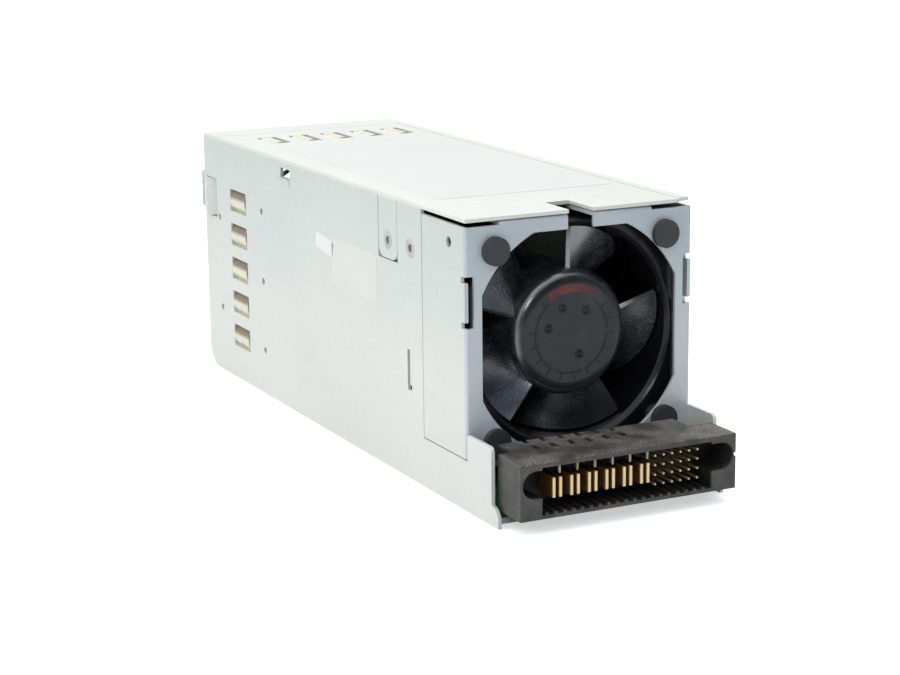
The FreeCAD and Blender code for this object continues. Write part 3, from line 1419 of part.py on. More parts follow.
def spring_strip(name, corner, turn, pitch, count, arch):
    """A strip of arched grounding fingers: the row runs along its own x and the arches bulge along z."""
    body = new_body(f"{name}_body")
    rise, shoulder = "sheet + strip_rise", "strip_shoulder_height"
    sketch = sketch_on(body, "y", "strip_margin")
    low, high = f"-({arch}) / 2", f"({arch}) / 2"
    outline(sketch, [(low, "-strip_thick"), (low, "0"), (f"{low} + strip_shoulder", shoulder), ("0", rise),
                     (f"{high} - strip_shoulder", shoulder), (high, "0"), (high, "-strip_thick"),
                     (f"{high} - strip_thick", "-strip_thick"),
                     (f"{high} - strip_shoulder - strip_thick", f"{shoulder} - strip_thick"),
                     ("0", f"{rise} - strip_thick"),
                     (f"{low} + strip_shoulder + strip_thick", f"{shoulder} - strip_thick"),
                     (f"{low} + strip_thick", "-strip_thick")])
    finger = pad(body, sketch, "y", "window_depth - 2 * strip_margin")
    land = sketch_on(body, "z", "-strip_thick")
    rectangle(land, (f"{high} - strip_thick", "0"), (f"{pitch} - {high} + strip_thick", "window_depth"))
    joint = pad(body, land, "z", "strip_thick")
    in_row(body, [finger, joint], land, "H_Axis", pitch, count)
    end = sketch_on(body, "z", "-strip_thick")
    rectangle(end, (f"{low} - strip_margin * 3", "0"), (f"{low} + strip_thick", "window_depth"))
    pad(body, end, "z", "strip_thick")
    body.Placement = FreeCAD.Placement(FreeCAD.Vector(), turn)
    put(body, corner)
    keep(body, name)


def grounding_springs():
    """Spring strips behind the windows of both walls and of the cover."""
    x, y, z = FreeCAD.Vector(1, 0, 0), FreeCAD.Vector(0, 1, 0), FreeCAD.Vector(0, 0, 1)
    left = FreeCAD.Rotation(z, y, -x, "ZXY")
    right = FreeCAD.Rotation(-z, y, x, "ZXY")
    top_centre = "window_centre + window_pitch * (window_count - 1)"
    spring_strip("grounding_springs_left", ("-inner_half", "window_low_y", "window_centre"), left,
                 "window_pitch", "window_count", "strip_arch")
    spring_strip("grounding_springs_right", ("inner_half", "window_low_y", top_centre), right,
                 "window_pitch", "window_count", "strip_arch")
    spring_strip("grounding_springs_top",
                 ("top_window_width / 2 - top_window_first", "window_low_y", "cover_under"),
                 FreeCAD.Rotation(), "top_window_pitch", "window_count", "top_window_width - 2 * strip_thick")


# ---- Inside the case --------------------------------------------------------------------------

def board_holes():
    """Centres of the board's four fixing holes."""
    front, back = "board_front_y + 3 * standoff_inset + connector_rear_depth", "board_rear_y - standoff_inset"
    side = "board_half - standoff_inset"
    return [(f"{sign} ({side})", place) for sign in "-+" for place in (front, back)]


def main_board():
    board = box("board_blank", ("-board_half", "board_front_y", "board_under"),
                ("board_half", "board_rear_y", "board_top"))
    holes = [rod(f"board_hole_{number}", "z", (across, place, "board_under"), "screw_radius + fit_gap",
                 "board_thick") for number, (across, place) in enumerate(board_holes())]
    keep(cut("main_board_cut", board, holes), "main_board")
    room = "standoff_radius + seam"
    sheet_holes = [box(f"insulator_hole_{number}", (f"{across} - ({room})", f"{place} - ({room})", "sheet"),
                       (f"{across} + {room}", f"{place} + {room}", "sheet + insulator_thick"))
                   for number, (across, place) in enumerate(board_holes())]
    film = box("insulator_blank", ("-board_half", "board_front_y", "sheet"),
               ("board_half", "board_rear_y", "sheet + insulator_thick"))
    keep(cut("insulator_cut", film, sheet_holes), "insulator_sheet")


def board_fixings():
    """Six-sided standoffs on the floor and the screws that hold the board down on them."""
    posts, screws = [], []
    for number, (across, place) in enumerate(board_holes()):
        post = doc.addObject("Part::Prism", f"standoff_post_{number}")
        post.Polygon = 6
        bind(post, "Circumradius", "standoff_radius")
        bind(post, "Height", "standoff_height")
        hole = rod(f"standoff_hole_{number}", "z", (across, place, "sheet"), "screw_radius + fit_gap",
                   "standoff_height")
        posts.append(cut(f"standoff_{number}", put(post, (across, place, "sheet")), [hole]))
        head = rod(f"board_screw_head_{number}", "z", (across, place, "board_top"), "screw_head_radius",
                   "screw_head_rise")
        stem = rod(f"board_screw_stem_{number}", "z", (across, place, "sheet + seam"), "screw_radius",
                   "board_top - sheet - seam")
        screws.append(fuse(f"board_screw_{number}", [head, stem]))
    keep(group("standoffs", posts), "standoffs")
    keep(group("board_screws", screws), "board_screws")


def heat_sink(name, start, side):
    """Upright plate with a row of fins towards the wall; side is - for the left, + for the right."""
    body = new_body(f"{name}_body")
    face = f"{side} (sink_face - sink_thick)"
    back = f"{side} sink_face"
    tip = f"{side} (sink_face + sink_fin)"
    low, high = (back, face) if side == "-" else (face, back)
    slab(body, "y", (low, "board_top"), (high, "board_top + sink_height"), start, f"{start} + sink_length")
    low, high = (tip, back) if side == "-" else (back, tip)
    sketch = sketch_on(body, "y", start)
    rectangle(sketch, (low, "board_top + 2 * sink_fin"), (high, "board_top + 2 * sink_fin + sink_fin_thick"))
    fin = pad(body, sketch, "y", "sink_length")
    step = "(sink_height - 2 * sink_fin - sink_fin_thick) / (sink_fin_count - 1)"
    in_row(body, [fin], sketch, "V_Axis", step, "sink_fin_count")
    keep(body, name)


def power_switches(name, start, side):
    """Flat transistor packages standing in a row against a heat sink."""
    body = new_body(f"{name}_body")
    inner, outer = "switch_face", "switch_face + switch_thick"
    low, high = (f"-({outer})", f"-({inner})") if side == "-" else (inner, outer)
    sketch = sketch_on(body, "z", "board_top + tail_length * 2")
    rectangle(sketch, (low, start), (high, f"{start} + switch_width"))
    case = pad(body, sketch, "z", "switch_height")
    legs = sketch_on(body, "z", "board_top")
    middle = f"({low} + {high}) / 2"
    for shift in ("0.15", "0.45", "0.75"):
        rectangle(legs, (f"{middle} - pin_size / 2", f"{start} + switch_width * {shift}"),
                  (f"{middle} + pin_size / 2", f"{start} + switch_width * {shift} + pin_size"))
    feet = pad(body, legs, "z", "tail_length * 2")
    in_row(body, [case, feet], sketch, "V_Axis", "switch_pitch", "switch_count")
    keep(body, name)


def capacitors():
    """Two tall bulk cans and a row of output cans."""
    cans = []
    for number, side in enumerate("-+"):
        place = ("-bulk_offset", f"bulk_y + 2 * bulk_radius {side} (bulk_radius + seam)", "board_top")
        cans.append(rod(f"bulk_can_{number}", "z", place, "bulk_radius", "bulk_height"))
    keep(group("bulk_capacitors", cans), "bulk_capacitors")
    cans = []
    for number in range(int(size("output_count"))):
        across = f"({number} - (output_count - 1) / 2) * output_pitch"
        cans.append(rod(f"output_can_{number}", "z", (across, "bay_y + output_radius", "board_top"),
                        "output_radius", "output_height"))
    keep(group("output_capacitors", cans), "output_capacitors")


def transformer():
    """Closed ferrite core and the winding around its middle leg."""
    start, end = "core_y", "core_y + transformer_depth"
    left, right = "transformer_offset - transformer_width / 2", "transformer_offset + transformer_width / 2"
    leg = "transformer_leg / 2"
    low, high = "board_top + seam", "board_top + seam + transformer_height"
    body = new_body("transformer_core_body")
    slab(body, "y", (left, low), (right, high), start, end)
    for near_side, far_side in ((f"{left} + {leg}", f"transformer_offset - {leg}"),
                                (f"transformer_offset + {leg}", f"{right} - {leg}")):
        window(body, "y", (near_side, f"{low} + {leg}"), (far_side, f"{high} - {leg}"), start, end)
    keep(body, "transformer_core")

    turns = new_body("transformer_winding_body")
    sketch = sketch_on(turns, "z", f"{low} + {leg} + seam")
    rectangle(sketch, (f"{left} + {leg} + seam", "winding_y"),
              (f"{right} - {leg} - seam", f"{end} + winding_spread"))
    rectangle(sketch, (f"transformer_offset - {leg} - seam", f"{start} - seam"),
              (f"transformer_offset + {leg} + seam", f"{end} + seam"))
    pad(turns, sketch, "z", f"transformer_height - 2 * ({leg} + seam)")
    ends = size("winding_y"), size("aisle_y") - size("part_gap")

    def outer_turn(edge):
        return along(edge, "z") and any(near(edge.CenterOfMass.y, end) for end in ends)

    soften(turns, "winding_spread / 2", outer_turn)
    keep(turns, "transformer_winding")


def choke(name, across, place, radius, section):
    """A wound ring lying on the board."""
    keep(ring(f"{name}_ring", "z", (across, place, "board_top"), f"{radius} + {section}",
              f"{radius} - {section}", f"2 * {section}"), name)


def small_parts():
    """Chokes, film capacitors, relay and fuse; the last four stand in the aisle beside the bulk cans."""
    choke("output_choke", "transformer_offset", "choke_y", "choke_radius", "choke_section")
    keep(box("relay_box", ("aisle_offset - relay_width / 2", "aisle_y", "board_top"),
             ("aisle_offset + relay_width / 2", "aisle_y + relay_length", "board_top + relay_height")),
         "inrush_relay")
    free_y = "aisle_y + relay_length + part_gap"
    choke("filter_choke", "aisle_offset + filter_radius", f"{free_y} + filter_radius + filter_section",
          "filter_radius", "filter_section")
    height = "board_top + fuse_cap_radius"
    pieces = [rod("fuse_tube", "y", ("fuse_offset", free_y, height), "fuse_radius", "fuse_length")]
    for number, place in enumerate((free_y, f"{free_y} + fuse_length * 3 / 4")):
        pieces.append(rod(f"fuse_cap_{number}", "y", ("fuse_offset", place, height), "fuse_cap_radius",
                          "fuse_length / 4"))
    keep(fuse("input_fuse_shape", pieces), "input_fuse")
    films = []
    for number in range(2):
        left = f"film_left + {number} * (film_length + part_gap)"
        films.append(box(f"film_{number}", (left, "film_y", "board_top"),
                         (f"{left} + film_length", "film_y + film_width", "board_top + film_height")))
    keep(group("film_capacitors", films), "film_capacitors")


def control_card():
    """Small upright board beside the fan end of the main board, with its chips."""
    start = "bay_y + card_start"
    card = box("card_board", ("card_offset", start, "board_top"),
               ("card_offset + board_thick", f"{start} + card_length", "board_top + card_height"))
    keep(card, "control_card")
    chips = []
    for number in range(int(size("chip_count"))):
        low = f"{start} + chip_thick / 2 + {number} * chip_pitch"
        height = "board_top + card_height / 2"
        chips.append(box(f"chip_{number}", ("card_offset - chip_thick", low, height),
                         ("card_offset", f"{low} + chip_size", f"{height} + chip_size")))
    keep(group("control_chips", chips), "control_chips")


def check(objects):
    """Stops the build when an object has failed or a sub-part isn't a sound solid."""
    for obj in doc.Objects:
        if "Invalid" in obj.State or "Error" in obj.State:
            raise RuntimeError(f"{obj.Label} failed: {obj.State}")
    for obj in objects:
        if obj.Shape.isNull() or not obj.Shape.isValid() or not obj.Shape.Solids:
            raise RuntimeError(f"{obj.Label} isn't a sound solid")


fill_sheet()
case_tray()
top_cover()
nut_plates()
side_screws()
fan_bracket()
fan_isolators()
fan_frame()
fan_rotor()
fan_motor()
connector_housing()
power_blades()
signal_pins()
rear_panel()
ac_inlet()
inlet_pins()
status_lamp()
pull_handle()
handle_lugs()
handle_pins()
release_latch()
latch_mount()
grounding_springs()
main_board()
board_fixings()
heat_sink("output_heat_sink", "output_sink_y", "-")
heat_sink("input_heat_sink", "input_sink_y", "+")
power_switches("output_rectifiers", "output_sink_y + sheet", "-")
power_switches("input_switches", "input_sink_y + sheet", "+")
capacitors()
transformer()
small_parts()
control_card()
doc.recompute()
check(nodes)
os.makedirs("parts", exist_ok=True)
for node in nodes:
    node.Shape.exportStep(f"parts/{node.Label}.step")
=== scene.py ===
import math

import bmesh
import bpy
from mathutils import Matrix, Vector


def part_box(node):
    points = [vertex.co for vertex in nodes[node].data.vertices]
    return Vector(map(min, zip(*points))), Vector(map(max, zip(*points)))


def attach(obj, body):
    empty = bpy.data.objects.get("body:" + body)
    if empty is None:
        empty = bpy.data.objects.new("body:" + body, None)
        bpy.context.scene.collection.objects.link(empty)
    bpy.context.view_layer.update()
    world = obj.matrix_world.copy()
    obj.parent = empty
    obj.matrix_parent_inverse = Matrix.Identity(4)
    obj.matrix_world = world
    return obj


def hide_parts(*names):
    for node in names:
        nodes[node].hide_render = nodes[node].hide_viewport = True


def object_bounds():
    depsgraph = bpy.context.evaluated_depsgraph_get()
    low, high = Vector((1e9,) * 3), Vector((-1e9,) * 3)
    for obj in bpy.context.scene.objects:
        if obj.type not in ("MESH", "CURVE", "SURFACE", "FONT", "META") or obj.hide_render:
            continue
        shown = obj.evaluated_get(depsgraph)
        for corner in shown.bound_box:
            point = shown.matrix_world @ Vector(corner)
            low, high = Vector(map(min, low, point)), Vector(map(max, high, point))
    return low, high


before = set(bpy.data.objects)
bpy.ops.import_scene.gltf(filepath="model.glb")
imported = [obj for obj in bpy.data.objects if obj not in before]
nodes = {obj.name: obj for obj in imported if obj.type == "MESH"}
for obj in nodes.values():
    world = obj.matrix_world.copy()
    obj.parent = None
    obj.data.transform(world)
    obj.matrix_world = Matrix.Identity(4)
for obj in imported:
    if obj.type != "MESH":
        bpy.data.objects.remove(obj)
cad_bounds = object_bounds()

# Dressed scene of a slim power supply module. Lengths are in metres, in the frame of the CAD part:
# +X to the right seen from the fan end, +Y from the fan to the mains end, +Z up.
MM = 0.001
X, Y, Z = Vector((1, 0, 0)), Vector((0, 1, 0)), Vector((0, 0, 1))
WHITE = (1.0, 1.0, 1.0)
TURN = 6.28                        # radians; a wave texture's rows are TURN / 20 apart at scale 1
SHARP = math.radians(35)           # edges that turn more than this stay sharp on the added pieces
FIRST, SECOND, RESULT = 6, 7, 2    # a mix node's sockets for colours


# ---- Materials --------------------------------------------------------------------------------

class Finish:
    """A principled material with helpers for its noise, ramps and bump."""

    def __init__(self, name, metallic=0.0, coat=0.0):
        self.material = bpy.data.materials.new(name)
        self.material.use_nodes = True
        self.tree = self.material.node_tree
        self.tree.nodes.clear()
        output = self.add("ShaderNodeOutputMaterial")
        self.shader = self.add("ShaderNodeBsdfPrincipled")
        self.shader.inputs["Metallic"].default_value = metallic
        self.shader.inputs["Coat Weight"].default_value = coat
        self.link(self.shader.outputs["BSDF"], output.inputs["Surface"])
        self.place = self.add("ShaderNodeTexCoord").outputs["Object"]

    def add(self, kind, **inputs):
        """A new node with some of its inputs set."""
        node = self.tree.nodes.new(kind)
        for key, value in inputs.items():
            node.inputs[key].default_value = value
        return node

    def link(self, start, end):
        self.tree.links.new(start, end)

    def stretched(self, scale):
        """The object's own coordinates, squeezed along each axis."""
        mapping = self.add("ShaderNodeMapping", Scale=scale)
        self.link(self.place, mapping.inputs["Vector"])
        return mapping.outputs["Vector"]

    def noise(self, grain, detail=3.0, stretch=None):
        """Noise with features about as wide as the grain."""
        node = self.add("ShaderNodeTexNoise", Scale=1 / grain, Detail=detail)
        self.link(self.stretched(stretch) if stretch else self.place, node.inputs["Vector"])
        return node.outputs["Fac"]

    def along(self, axis, start, end, clamp=False):
        """0 at a start on an axis and 1 at an end, which may go on beyond both."""
        parts = self.add("ShaderNodeSeparateXYZ")
        self.link(self.place, parts.inputs["Vector"])
        node = self.tree.nodes.new("ShaderNodeMapRange")
        node.clamp = clamp
        node.inputs["From Min"].default_value = start
        node.inputs["From Max"].default_value = end
        self.link(parts.outputs[axis], node.inputs["Value"])
        return node.outputs["Result"]

    def within(self, axis, start, end):
        """0 up to a start on an axis, and 1 from an end onwards."""
        return self.along(axis, start, end, True)

    def cells(self, width):
        """A random level for each crystal-like cell."""
        node = self.add("ShaderNodeTexVoronoi", Scale=1 / width)
        self.link(self.place, node.inputs["Vector"])
        level = self.add("ShaderNodeSeparateColor")
        self.link(node.outputs["Color"], level.inputs["Color"])
        return level.outputs["Red"]

    def ramp(self, level, stops):
        """Colours or greys between the given levels."""
        node = self.add("ShaderNodeValToRGB")
        elements = node.color_ramp.elements
        while len(elements) < len(stops):
            elements.new(0.5)
        for element, (position, colour) in zip(elements, stops):
            element.position = position
            element.color = (*colour, 1) if isinstance(colour, tuple) else (colour, colour, colour, 1)
        self.link(level, node.inputs["Fac"])
        return node.outputs["Color"]

    def mix(self, level, first, second, mode="MIX"):
        """The first colour at level 0 and the second at level 1."""
        node = self.tree.nodes.new("ShaderNodeMix")
        node.data_type = "RGBA"
        node.blend_type = mode
        sockets = (node.inputs["Factor"], node.inputs[FIRST], node.inputs[SECOND])
        for source, socket in zip((level, first, second), sockets):
            if isinstance(source, bpy.types.NodeSocket):
                self.link(source, socket)
            elif isinstance(source, tuple):
                socket.default_value = (*source, 1)
            else:
                socket.default_value = source
        return node.outputs[RESULT]

    def times(self, first, second):
        """Two colours or greys multiplied together."""
        return self.mix(1.0, first, second, "MULTIPLY")

    def range(self, level, low, high):
        """A level from 0 to 1 spread between low and high."""
        node = self.add("ShaderNodeMapRange")
        node.inputs["To Min"].default_value = low
        node.inputs["To Max"].default_value = high
        self.link(level, node.inputs["Value"])
        return node.outputs["Result"]

    def colour(self, source):
        self.link(source, self.shader.inputs["Base Color"])

    def rough(self, level, low, high):
        self.link(self.range(level, low, high), self.shader.inputs["Roughness"])

    def bump(self, level, height):
        node = self.add("ShaderNodeBump", Strength=1.0, Distance=height)
        self.link(level, node.inputs["Height"])
        self.link(node.outputs["Normal"], self.shader.inputs["Normal"])


def galvanised(name, pale, shaded, metallic=0.22, painted_reflection_tones=None, plate=0.0, rim=None):
    """Zinc-coated sheet: faint crystals, cloudy patches and rolling marks.

    The cool front tones give the plate at a front place a painted bluish reflection in tones of its own.
    rim is the height of a cover: walls take a painted shade, darker a little towards it, and the cover's
    own top keeps the plain tones.
    """
    finish = Finish(name, metallic)
    clouds = finish.noise(45 * MM, 3, (1, 0.6, 1))
    rolling = finish.noise(1.2 * MM, 2, (1, 0.05, 1))
    body = finish.ramp(clouds, [(0.3, shaded), (0.7, pale)])
    # painted reflection: the front plate gets cooler, bluish tones of its own over the same sheet
    if painted_reflection_tones:
        front = finish.ramp(clouds, [(0.3, painted_reflection_tones[1]), (0.7, painted_reflection_tones[0])])
        body = finish.mix(finish.within("Y", plate + 0.6 * MM, plate + 1.2 * MM), front, body)
    if rim:
        # painted shade: the walls darken towards the cover's rim, to the darkest tone just under it, and
        # the cover's top stays plain
        depth, darkest = 45 * MM, (0.83, 0.865, 0.875)
        painted_shade = finish.ramp(finish.within("Z", rim - depth, rim),
                            [(0.0, WHITE), (0.97, darkest), (0.98, WHITE)])
        body = finish.times(body, painted_shade)
    crystals = finish.ramp(finish.cells(1.6 * MM), [(0.0, 0.975), (1.0, 1.0)])
    marks = finish.ramp(rolling, [(0.35, 0.985), (0.65, 1.0)])
    finish.colour(finish.times(finish.times(body, crystals), marks))
    finish.rough(clouds, 0.48, 0.6)
    finish.bump(rolling, 0.004 * MM)
    return finish.material


def moulded(name, dark, light, rough=(0.4, 0.55), grain=0.35, height=0.012, patch=8.0, coat=0.0):
    """Moulded plastic or rubber: a cloudy tone and a fine grain, with sizes in millimetres."""
    finish = Finish(name, 0.0, coat)
    cloud = finish.noise(patch * MM, 4)
    fine = finish.noise(grain * MM, 2)
    finish.colour(finish.mix(0.35, finish.ramp(cloud, [(0.35, dark), (0.7, light)]),
                             finish.ramp(fine, [(0.35, dark), (0.75, light)])))
    finish.rough(cloud, *rough)
    finish.bump(fine, height * MM)
    return finish.material


def dust_film(finish, cloud, speck, patches, specks):
    """How thick the dust lies: fine specks between two levels, thicker in cloudy patches."""
    fine = finish.ramp(speck, [(specks[0], 0.0), (specks[1], 1.0)])
    return finish.times(fine, finish.ramp(cloud, patches))


def dusty_connector(low, high):
    """Charcoal glass-filled resin between two corners: dusty outside, with painted shade in its hollows.
    """
    finish = Finish("connector_resin")
    cloud = finish.noise(7 * MM, 5)
    speck = finish.noise(0.5 * MM, 3)
    body = finish.ramp(cloud, [(0.3, (0.036, 0.035, 0.034)), (0.7, (0.075, 0.072, 0.069))])
    dust = dust_film(finish, cloud, speck, [(0.38, 0.1), (0.62, 1.0)], (0.44, 0.6))
    top = finish.within("Z", high.z - 0.4 * MM, high.z - 0.1 * MM)
    layer = finish.times(dust, finish.mix(top, (0.25, 0.25, 0.25), WHITE))
    outside = finish.mix(layer, body, (0.27, 0.25, 0.22))
    # painted shade darkens each hollow: a hollow is what lies behind the front face, below the top and
    # inside both ends
    painted_shade_hollow = finish.times(finish.within("Y", low.y + 0.1 * MM, low.y + 1.2 * MM),
                          finish.within("Z", high.z - 0.15 * MM, high.z - 1.2 * MM))
    for wall, inner in ((low.x, low.x + 0.4 * MM), (high.x, high.x - 0.4 * MM)):
        painted_shade_hollow = finish.times(painted_shade_hollow, finish.within("X", wall, inner))
    finish.colour(finish.times(outside, finish.mix(painted_shade_hollow, WHITE, (0.28, 0.26, 0.26))))
    finish.rough(speck, 0.38, 0.62)
    finish.bump(speck, 0.02 * MM)
    return finish.material


def dusty_rotor(face):
    """Black rotor resin: a matt face, a polished rim, and a thin film of dust on the blades."""
    finish = Finish("fan_rotor_resin", 0.0, 1.0)
    finish.shader.inputs["Coat Roughness"].default_value = 0.24
    finish.shader.inputs["Specular IOR Level"].default_value = 0.0
    polish = finish.ramp(finish.within("Y", face, face + 6 * MM),
                         [(0.05, 0.0), (0.2, 1.0), (0.55, 1.0), (0.75, 0.2)])
    finish.link(finish.range(polish, 1.45, 2.8), finish.shader.inputs["Coat IOR"])
    cloud = finish.noise(8 * MM, 4)
    speck = finish.noise(0.3 * MM, 3)
    body = finish.ramp(cloud, [(0.3, (0.012, 0.0125, 0.016)), (0.7, (0.022, 0.023, 0.029))])
    dust = dust_film(finish, cloud, speck, [(0.4, 0.06), (0.68, 0.6)], (0.45, 0.66))
    settled = finish.mix(finish.within("Y", face, face + 4 * MM), (0.1, 0.1, 0.1), WHITE)
    finish.colour(finish.mix(finish.times(dust, settled), body, (0.3, 0.315, 0.35)))
    finish.rough(cloud, 0.24, 0.36)
    finish.bump(speck, 0.004 * MM)
    return finish.material


def metal(name, dark, light, rough=(0.2, 0.35), grain=3.0, stretch=(1, 1, 1), metallic=1.0):
    """Bare or plated metal with soft stains and fine working marks, the grain in millimetres."""
    finish = Finish(name, metallic)
    stain = finish.noise(grain * MM, 4)
    lines = finish.noise(0.25 * MM, 2, stretch)
    finish.colour(finish.mix(0.3, finish.ramp(stain, [(0.3, dark), (0.65, light)]),
                             finish.ramp(lines, [(0.3, dark), (0.7, light)])))
    finish.rough(stain, *rough)
    finish.bump(lines, 0.003 * MM)
    return finish.material


def sprung_bronze(name, axis, first, pitch):
    """Spring strip: every arch has painted shade at its far side and a painted highlight at its near
    side.
    """
    finish = Finish(name, 0.45)
    wave = finish.tree.nodes.new("ShaderNodeMath")
    wave.operation = "FRACT"
    finish.link(finish.along(axis, first, first + pitch), wave.inputs[0])
    cloud = finish.noise(2 * MM, 3)
    # painted highlight on the near side of each arch, painted shade on its far side
    painted_arch_light = finish.ramp(wave.outputs[0], [(0.0, (0.7, 0.67, 0.52)), (0.34, (0.88, 0.86, 0.72)),
                                         (0.44, (0.3, 0.24, 0.16)), (0.8, (0.17, 0.13, 0.09))])
    finish.colour(finish.times(painted_arch_light, finish.ramp(cloud, [(0.3, 0.8), (0.7, 1.0)])))
    finish.rough(cloud, 0.28, 0.42)
    finish.bump(cloud, 0.01 * MM)
    return finish.material


def contact(name, front, painted_highlight_tip, side, reach):
    """Gold-plated contact: a painted highlight at its front edge and painted shade along its sides."""
    finish = Finish(name, 0.6)
    wear = finish.noise(1.2 * MM, 3, (1, 0.3, 1))
    place = finish.along("Y", front, front + reach)
    # painted highlight: the tip colour at the front edge; painted shade: the side colour further back
    finish.colour(finish.mix(finish.ramp(place, [(0.0, 0.0), (0.25, 0.3), (1.0, 1.0)]), painted_highlight_tip,
                             finish.mix(wear, side, tuple(1.6 * level for level in side))))
    finish.rough(wear, 0.25, 0.45)
    finish.bump(wear, 0.004 * MM)
    return finish.material


def laminate():
    """Green board: solder mask with faint copper tracks below it."""
    finish = Finish("board_mask", 0.0, 0.25)
    brick = finish.add("ShaderNodeTexBrick", Scale=1 / (9 * MM))
    brick.inputs["Mortar Size"].default_value = 0.06
    brick.inputs["Color1"].default_value = (0.012, 0.10, 0.045, 1)
    brick.inputs["Color2"].default_value = (0.016, 0.13, 0.06, 1)
    brick.inputs["Mortar"].default_value = (0.03, 0.19, 0.09, 1)
    finish.link(finish.place, brick.inputs["Vector"])
    cloud = finish.noise(5 * MM, 3)
    finish.colour(finish.times(brick.outputs["Color"], finish.ramp(cloud, [(0.3, 0.8), (0.7, 1.0)])))
    finish.rough(cloud, 0.25, 0.4)
    finish.bump(brick.outputs["Fac"], 0.02 * MM)
    return finish.material


def wound(name, dark, light, half, axis="Z"):
    """Rows of wire or tape across an axis; half the way from row to row is in millimetres."""
    finish = Finish(name, 0.3)
    bands = finish.add("ShaderNodeTexWave", Scale=1 / (half * MM) / TURN, Distortion=0.4)
    bands.bands_direction = axis
    finish.link(finish.place, bands.inputs["Vector"])
    finish.colour(finish.ramp(bands.outputs["Fac"], [(0.1, dark), (0.8, light)]))
    finish.rough(finish.noise(2 * MM), 0.3, 0.45)
    finish.bump(bands.outputs["Fac"], 0.08 * MM)
    return finish.material


def film_white(name, tone, rough=(0.3, 0.4)):
    """Blank label film with a faint orange-peel surface."""
    finish = Finish(name)
    cloud = finish.noise(14 * MM, 3)
    fine = finish.noise(0.6 * MM, 2)
    finish.colour(finish.ramp(cloud, [(0.3, tuple(0.97 * c for c in tone)), (0.7, tone)]))
    finish.rough(cloud, *rough)
    finish.bump(fine, 0.004 * MM)
    return finish.material


def faded_red():
    """Thin dull red ink, paler in soft patches."""
    finish = Finish("hub_ink")
    wear = finish.noise(5 * MM, 2)
    finish.colour(finish.ramp(wear, [(0.35, (0.085, 0.017, 0.019)), (0.65, (0.17, 0.026, 0.028))]))
    finish.rough(wear, 0.35, 0.5)
    finish.bump(finish.noise(0.4 * MM, 2), 0.006 * MM)
    return finish.material


def lens():
    """Clear tinted light pipe, frosted inside."""
    finish = Finish("lamp_lens", 0.0, 0.5)
    cloud = finish.noise(1.5 * MM, 3)
    finish.colour(finish.ramp(cloud, [(0.3, (0.32, 0.6, 0.38)), (0.7, (0.5, 0.78, 0.55))]))
    finish.rough(cloud, 0.12, 0.25)
    finish.shader.inputs["Transmission Weight"].default_value = 0.35
    return finish.material


def dress(material, *names):
    """Gives CAD nodes their finish."""
    for name in names:
        mesh = nodes[name].data
        mesh.materials.clear()
        mesh.materials.append(material)


def crisp(width, *names):
    """Rounds the sharp edges of CAD nodes a little, so that they catch the light."""
    for name in names:
        obj = nodes[name]
        weld = obj.modifiers.new("weld", "WELD")
        weld.merge_threshold = 0.001 * MM
        bevel = obj.modifiers.new("edge", "BEVEL")
        bevel.width = width * MM
        bevel.segments = 2
        bevel.limit_method = "ANGLE"
        bevel.angle_limit = math.radians(40)
        bevel.harden_normals = True


# ---- Pieces -----------------------------------------------------------------------------------

def piece(name, mesh, material, body="supply"):
    """Turns a bmesh into a piece that rides on a body."""
    data = bpy.data.meshes.new(name)
    bmesh.ops.recalc_face_normals(mesh, faces=mesh.faces)
    mesh.to_mesh(data)
    mesh.free()
    data.materials.append(material)
    obj = bpy.data.objects.new(name, data)
    bpy.context.scene.collection.objects.link(obj)
    for polygon in data.polygons:
        polygon.use_smooth = True
    data.set_sharp_from_angle(angle=SHARP)
    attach(obj, body)
    return obj


def frame_at(centre, across, up):
    """Matrix whose x and y run across and up a face, with z out of it."""
    out = across.cross(up)
    turn = Matrix((across, up, out)).transposed().to_4x4()
    return Matrix.Translation(centre) @ turn


def rounded_outline(width, height, corner):
    """Points round a rectangle with rounded corners."""
    steps = 6
    points = []
    for quarter, (sx, sy) in enumerate(((1, 1), (-1, 1), (-1, -1), (1, -1))):
        for step in range(steps + 1):
            angle = math.radians(90 * quarter + 90 * step / steps)
            points.append(Vector((sx * (width / 2 - corner) + corner * math.cos(angle),
                                  sy * (height / 2 - corner) + corner * math.sin(angle), 0)))
    return points


def loops_to_shell(mesh, loops):
    """Skins a row of equal loops of points, with a face over each end."""
    rings = [[mesh.verts.new(point) for point in loop] for loop in loops]
    for near, far in zip(rings, rings[1:]):
        for index in range(len(near)):
            after = (index + 1) % len(near)
            mesh.faces.new((near[index], near[after], far[after], far[index]))
    mesh.faces.new(list(reversed(rings[0])))
    mesh.faces.new(rings[-1])


def sticker(name, place, width, height, corner, thick, material):
    """Thin film with rounded corners and a softened edge, stuck on a face."""
    mesh = bmesh.new()
    inset = thick * 0.8
    outlines = []
    for shrink, rise in ((0, 0), (0, thick * 0.5), (inset, thick)):
        outline = rounded_outline(width - shrink, height - shrink, corner)
        outlines.append([place @ (point + Vector((0, 0, rise))) for point in outline])
    loops_to_shell(mesh, outlines)
    piece(name, mesh, material)


def turned(mesh, place, profile, segments, lobes=None):
    """Revolves (radius, height) pairs about the place's z.

    lobes gives the share by which the radius of some pairs waves, six times round.
    """
    loops = []
    for index, (radius, height) in enumerate(profile):
        wave = (lobes or {}).get(index, 0)
        loop = []
        for step in range(segments):
            angle = 2 * math.pi * step / segments
            reach = radius * (1 + wave * math.cos(6 * angle))
            loop.append(place @ Vector((reach * math.cos(angle), reach * math.sin(angle), height)))
        loops.append(loop)
    loops_to_shell(mesh, loops)


def sector(mesh, place, inner, outer, start, end, low, high, steps):
    """A slab bent round the place's z between two angles in degrees."""
    loops = []
    for step in range(steps + 1):
        angle = math.radians(start + (end - start) * step / steps)
        side = Vector((math.cos(angle), math.sin(angle), 0))
        corners = ((inner, low), (outer, low), (outer, high), (inner, high))
        loops.append([place @ (side * radius + Vector((0, 0, height))) for radius, height in corners])
    loops_to_shell(mesh, loops)


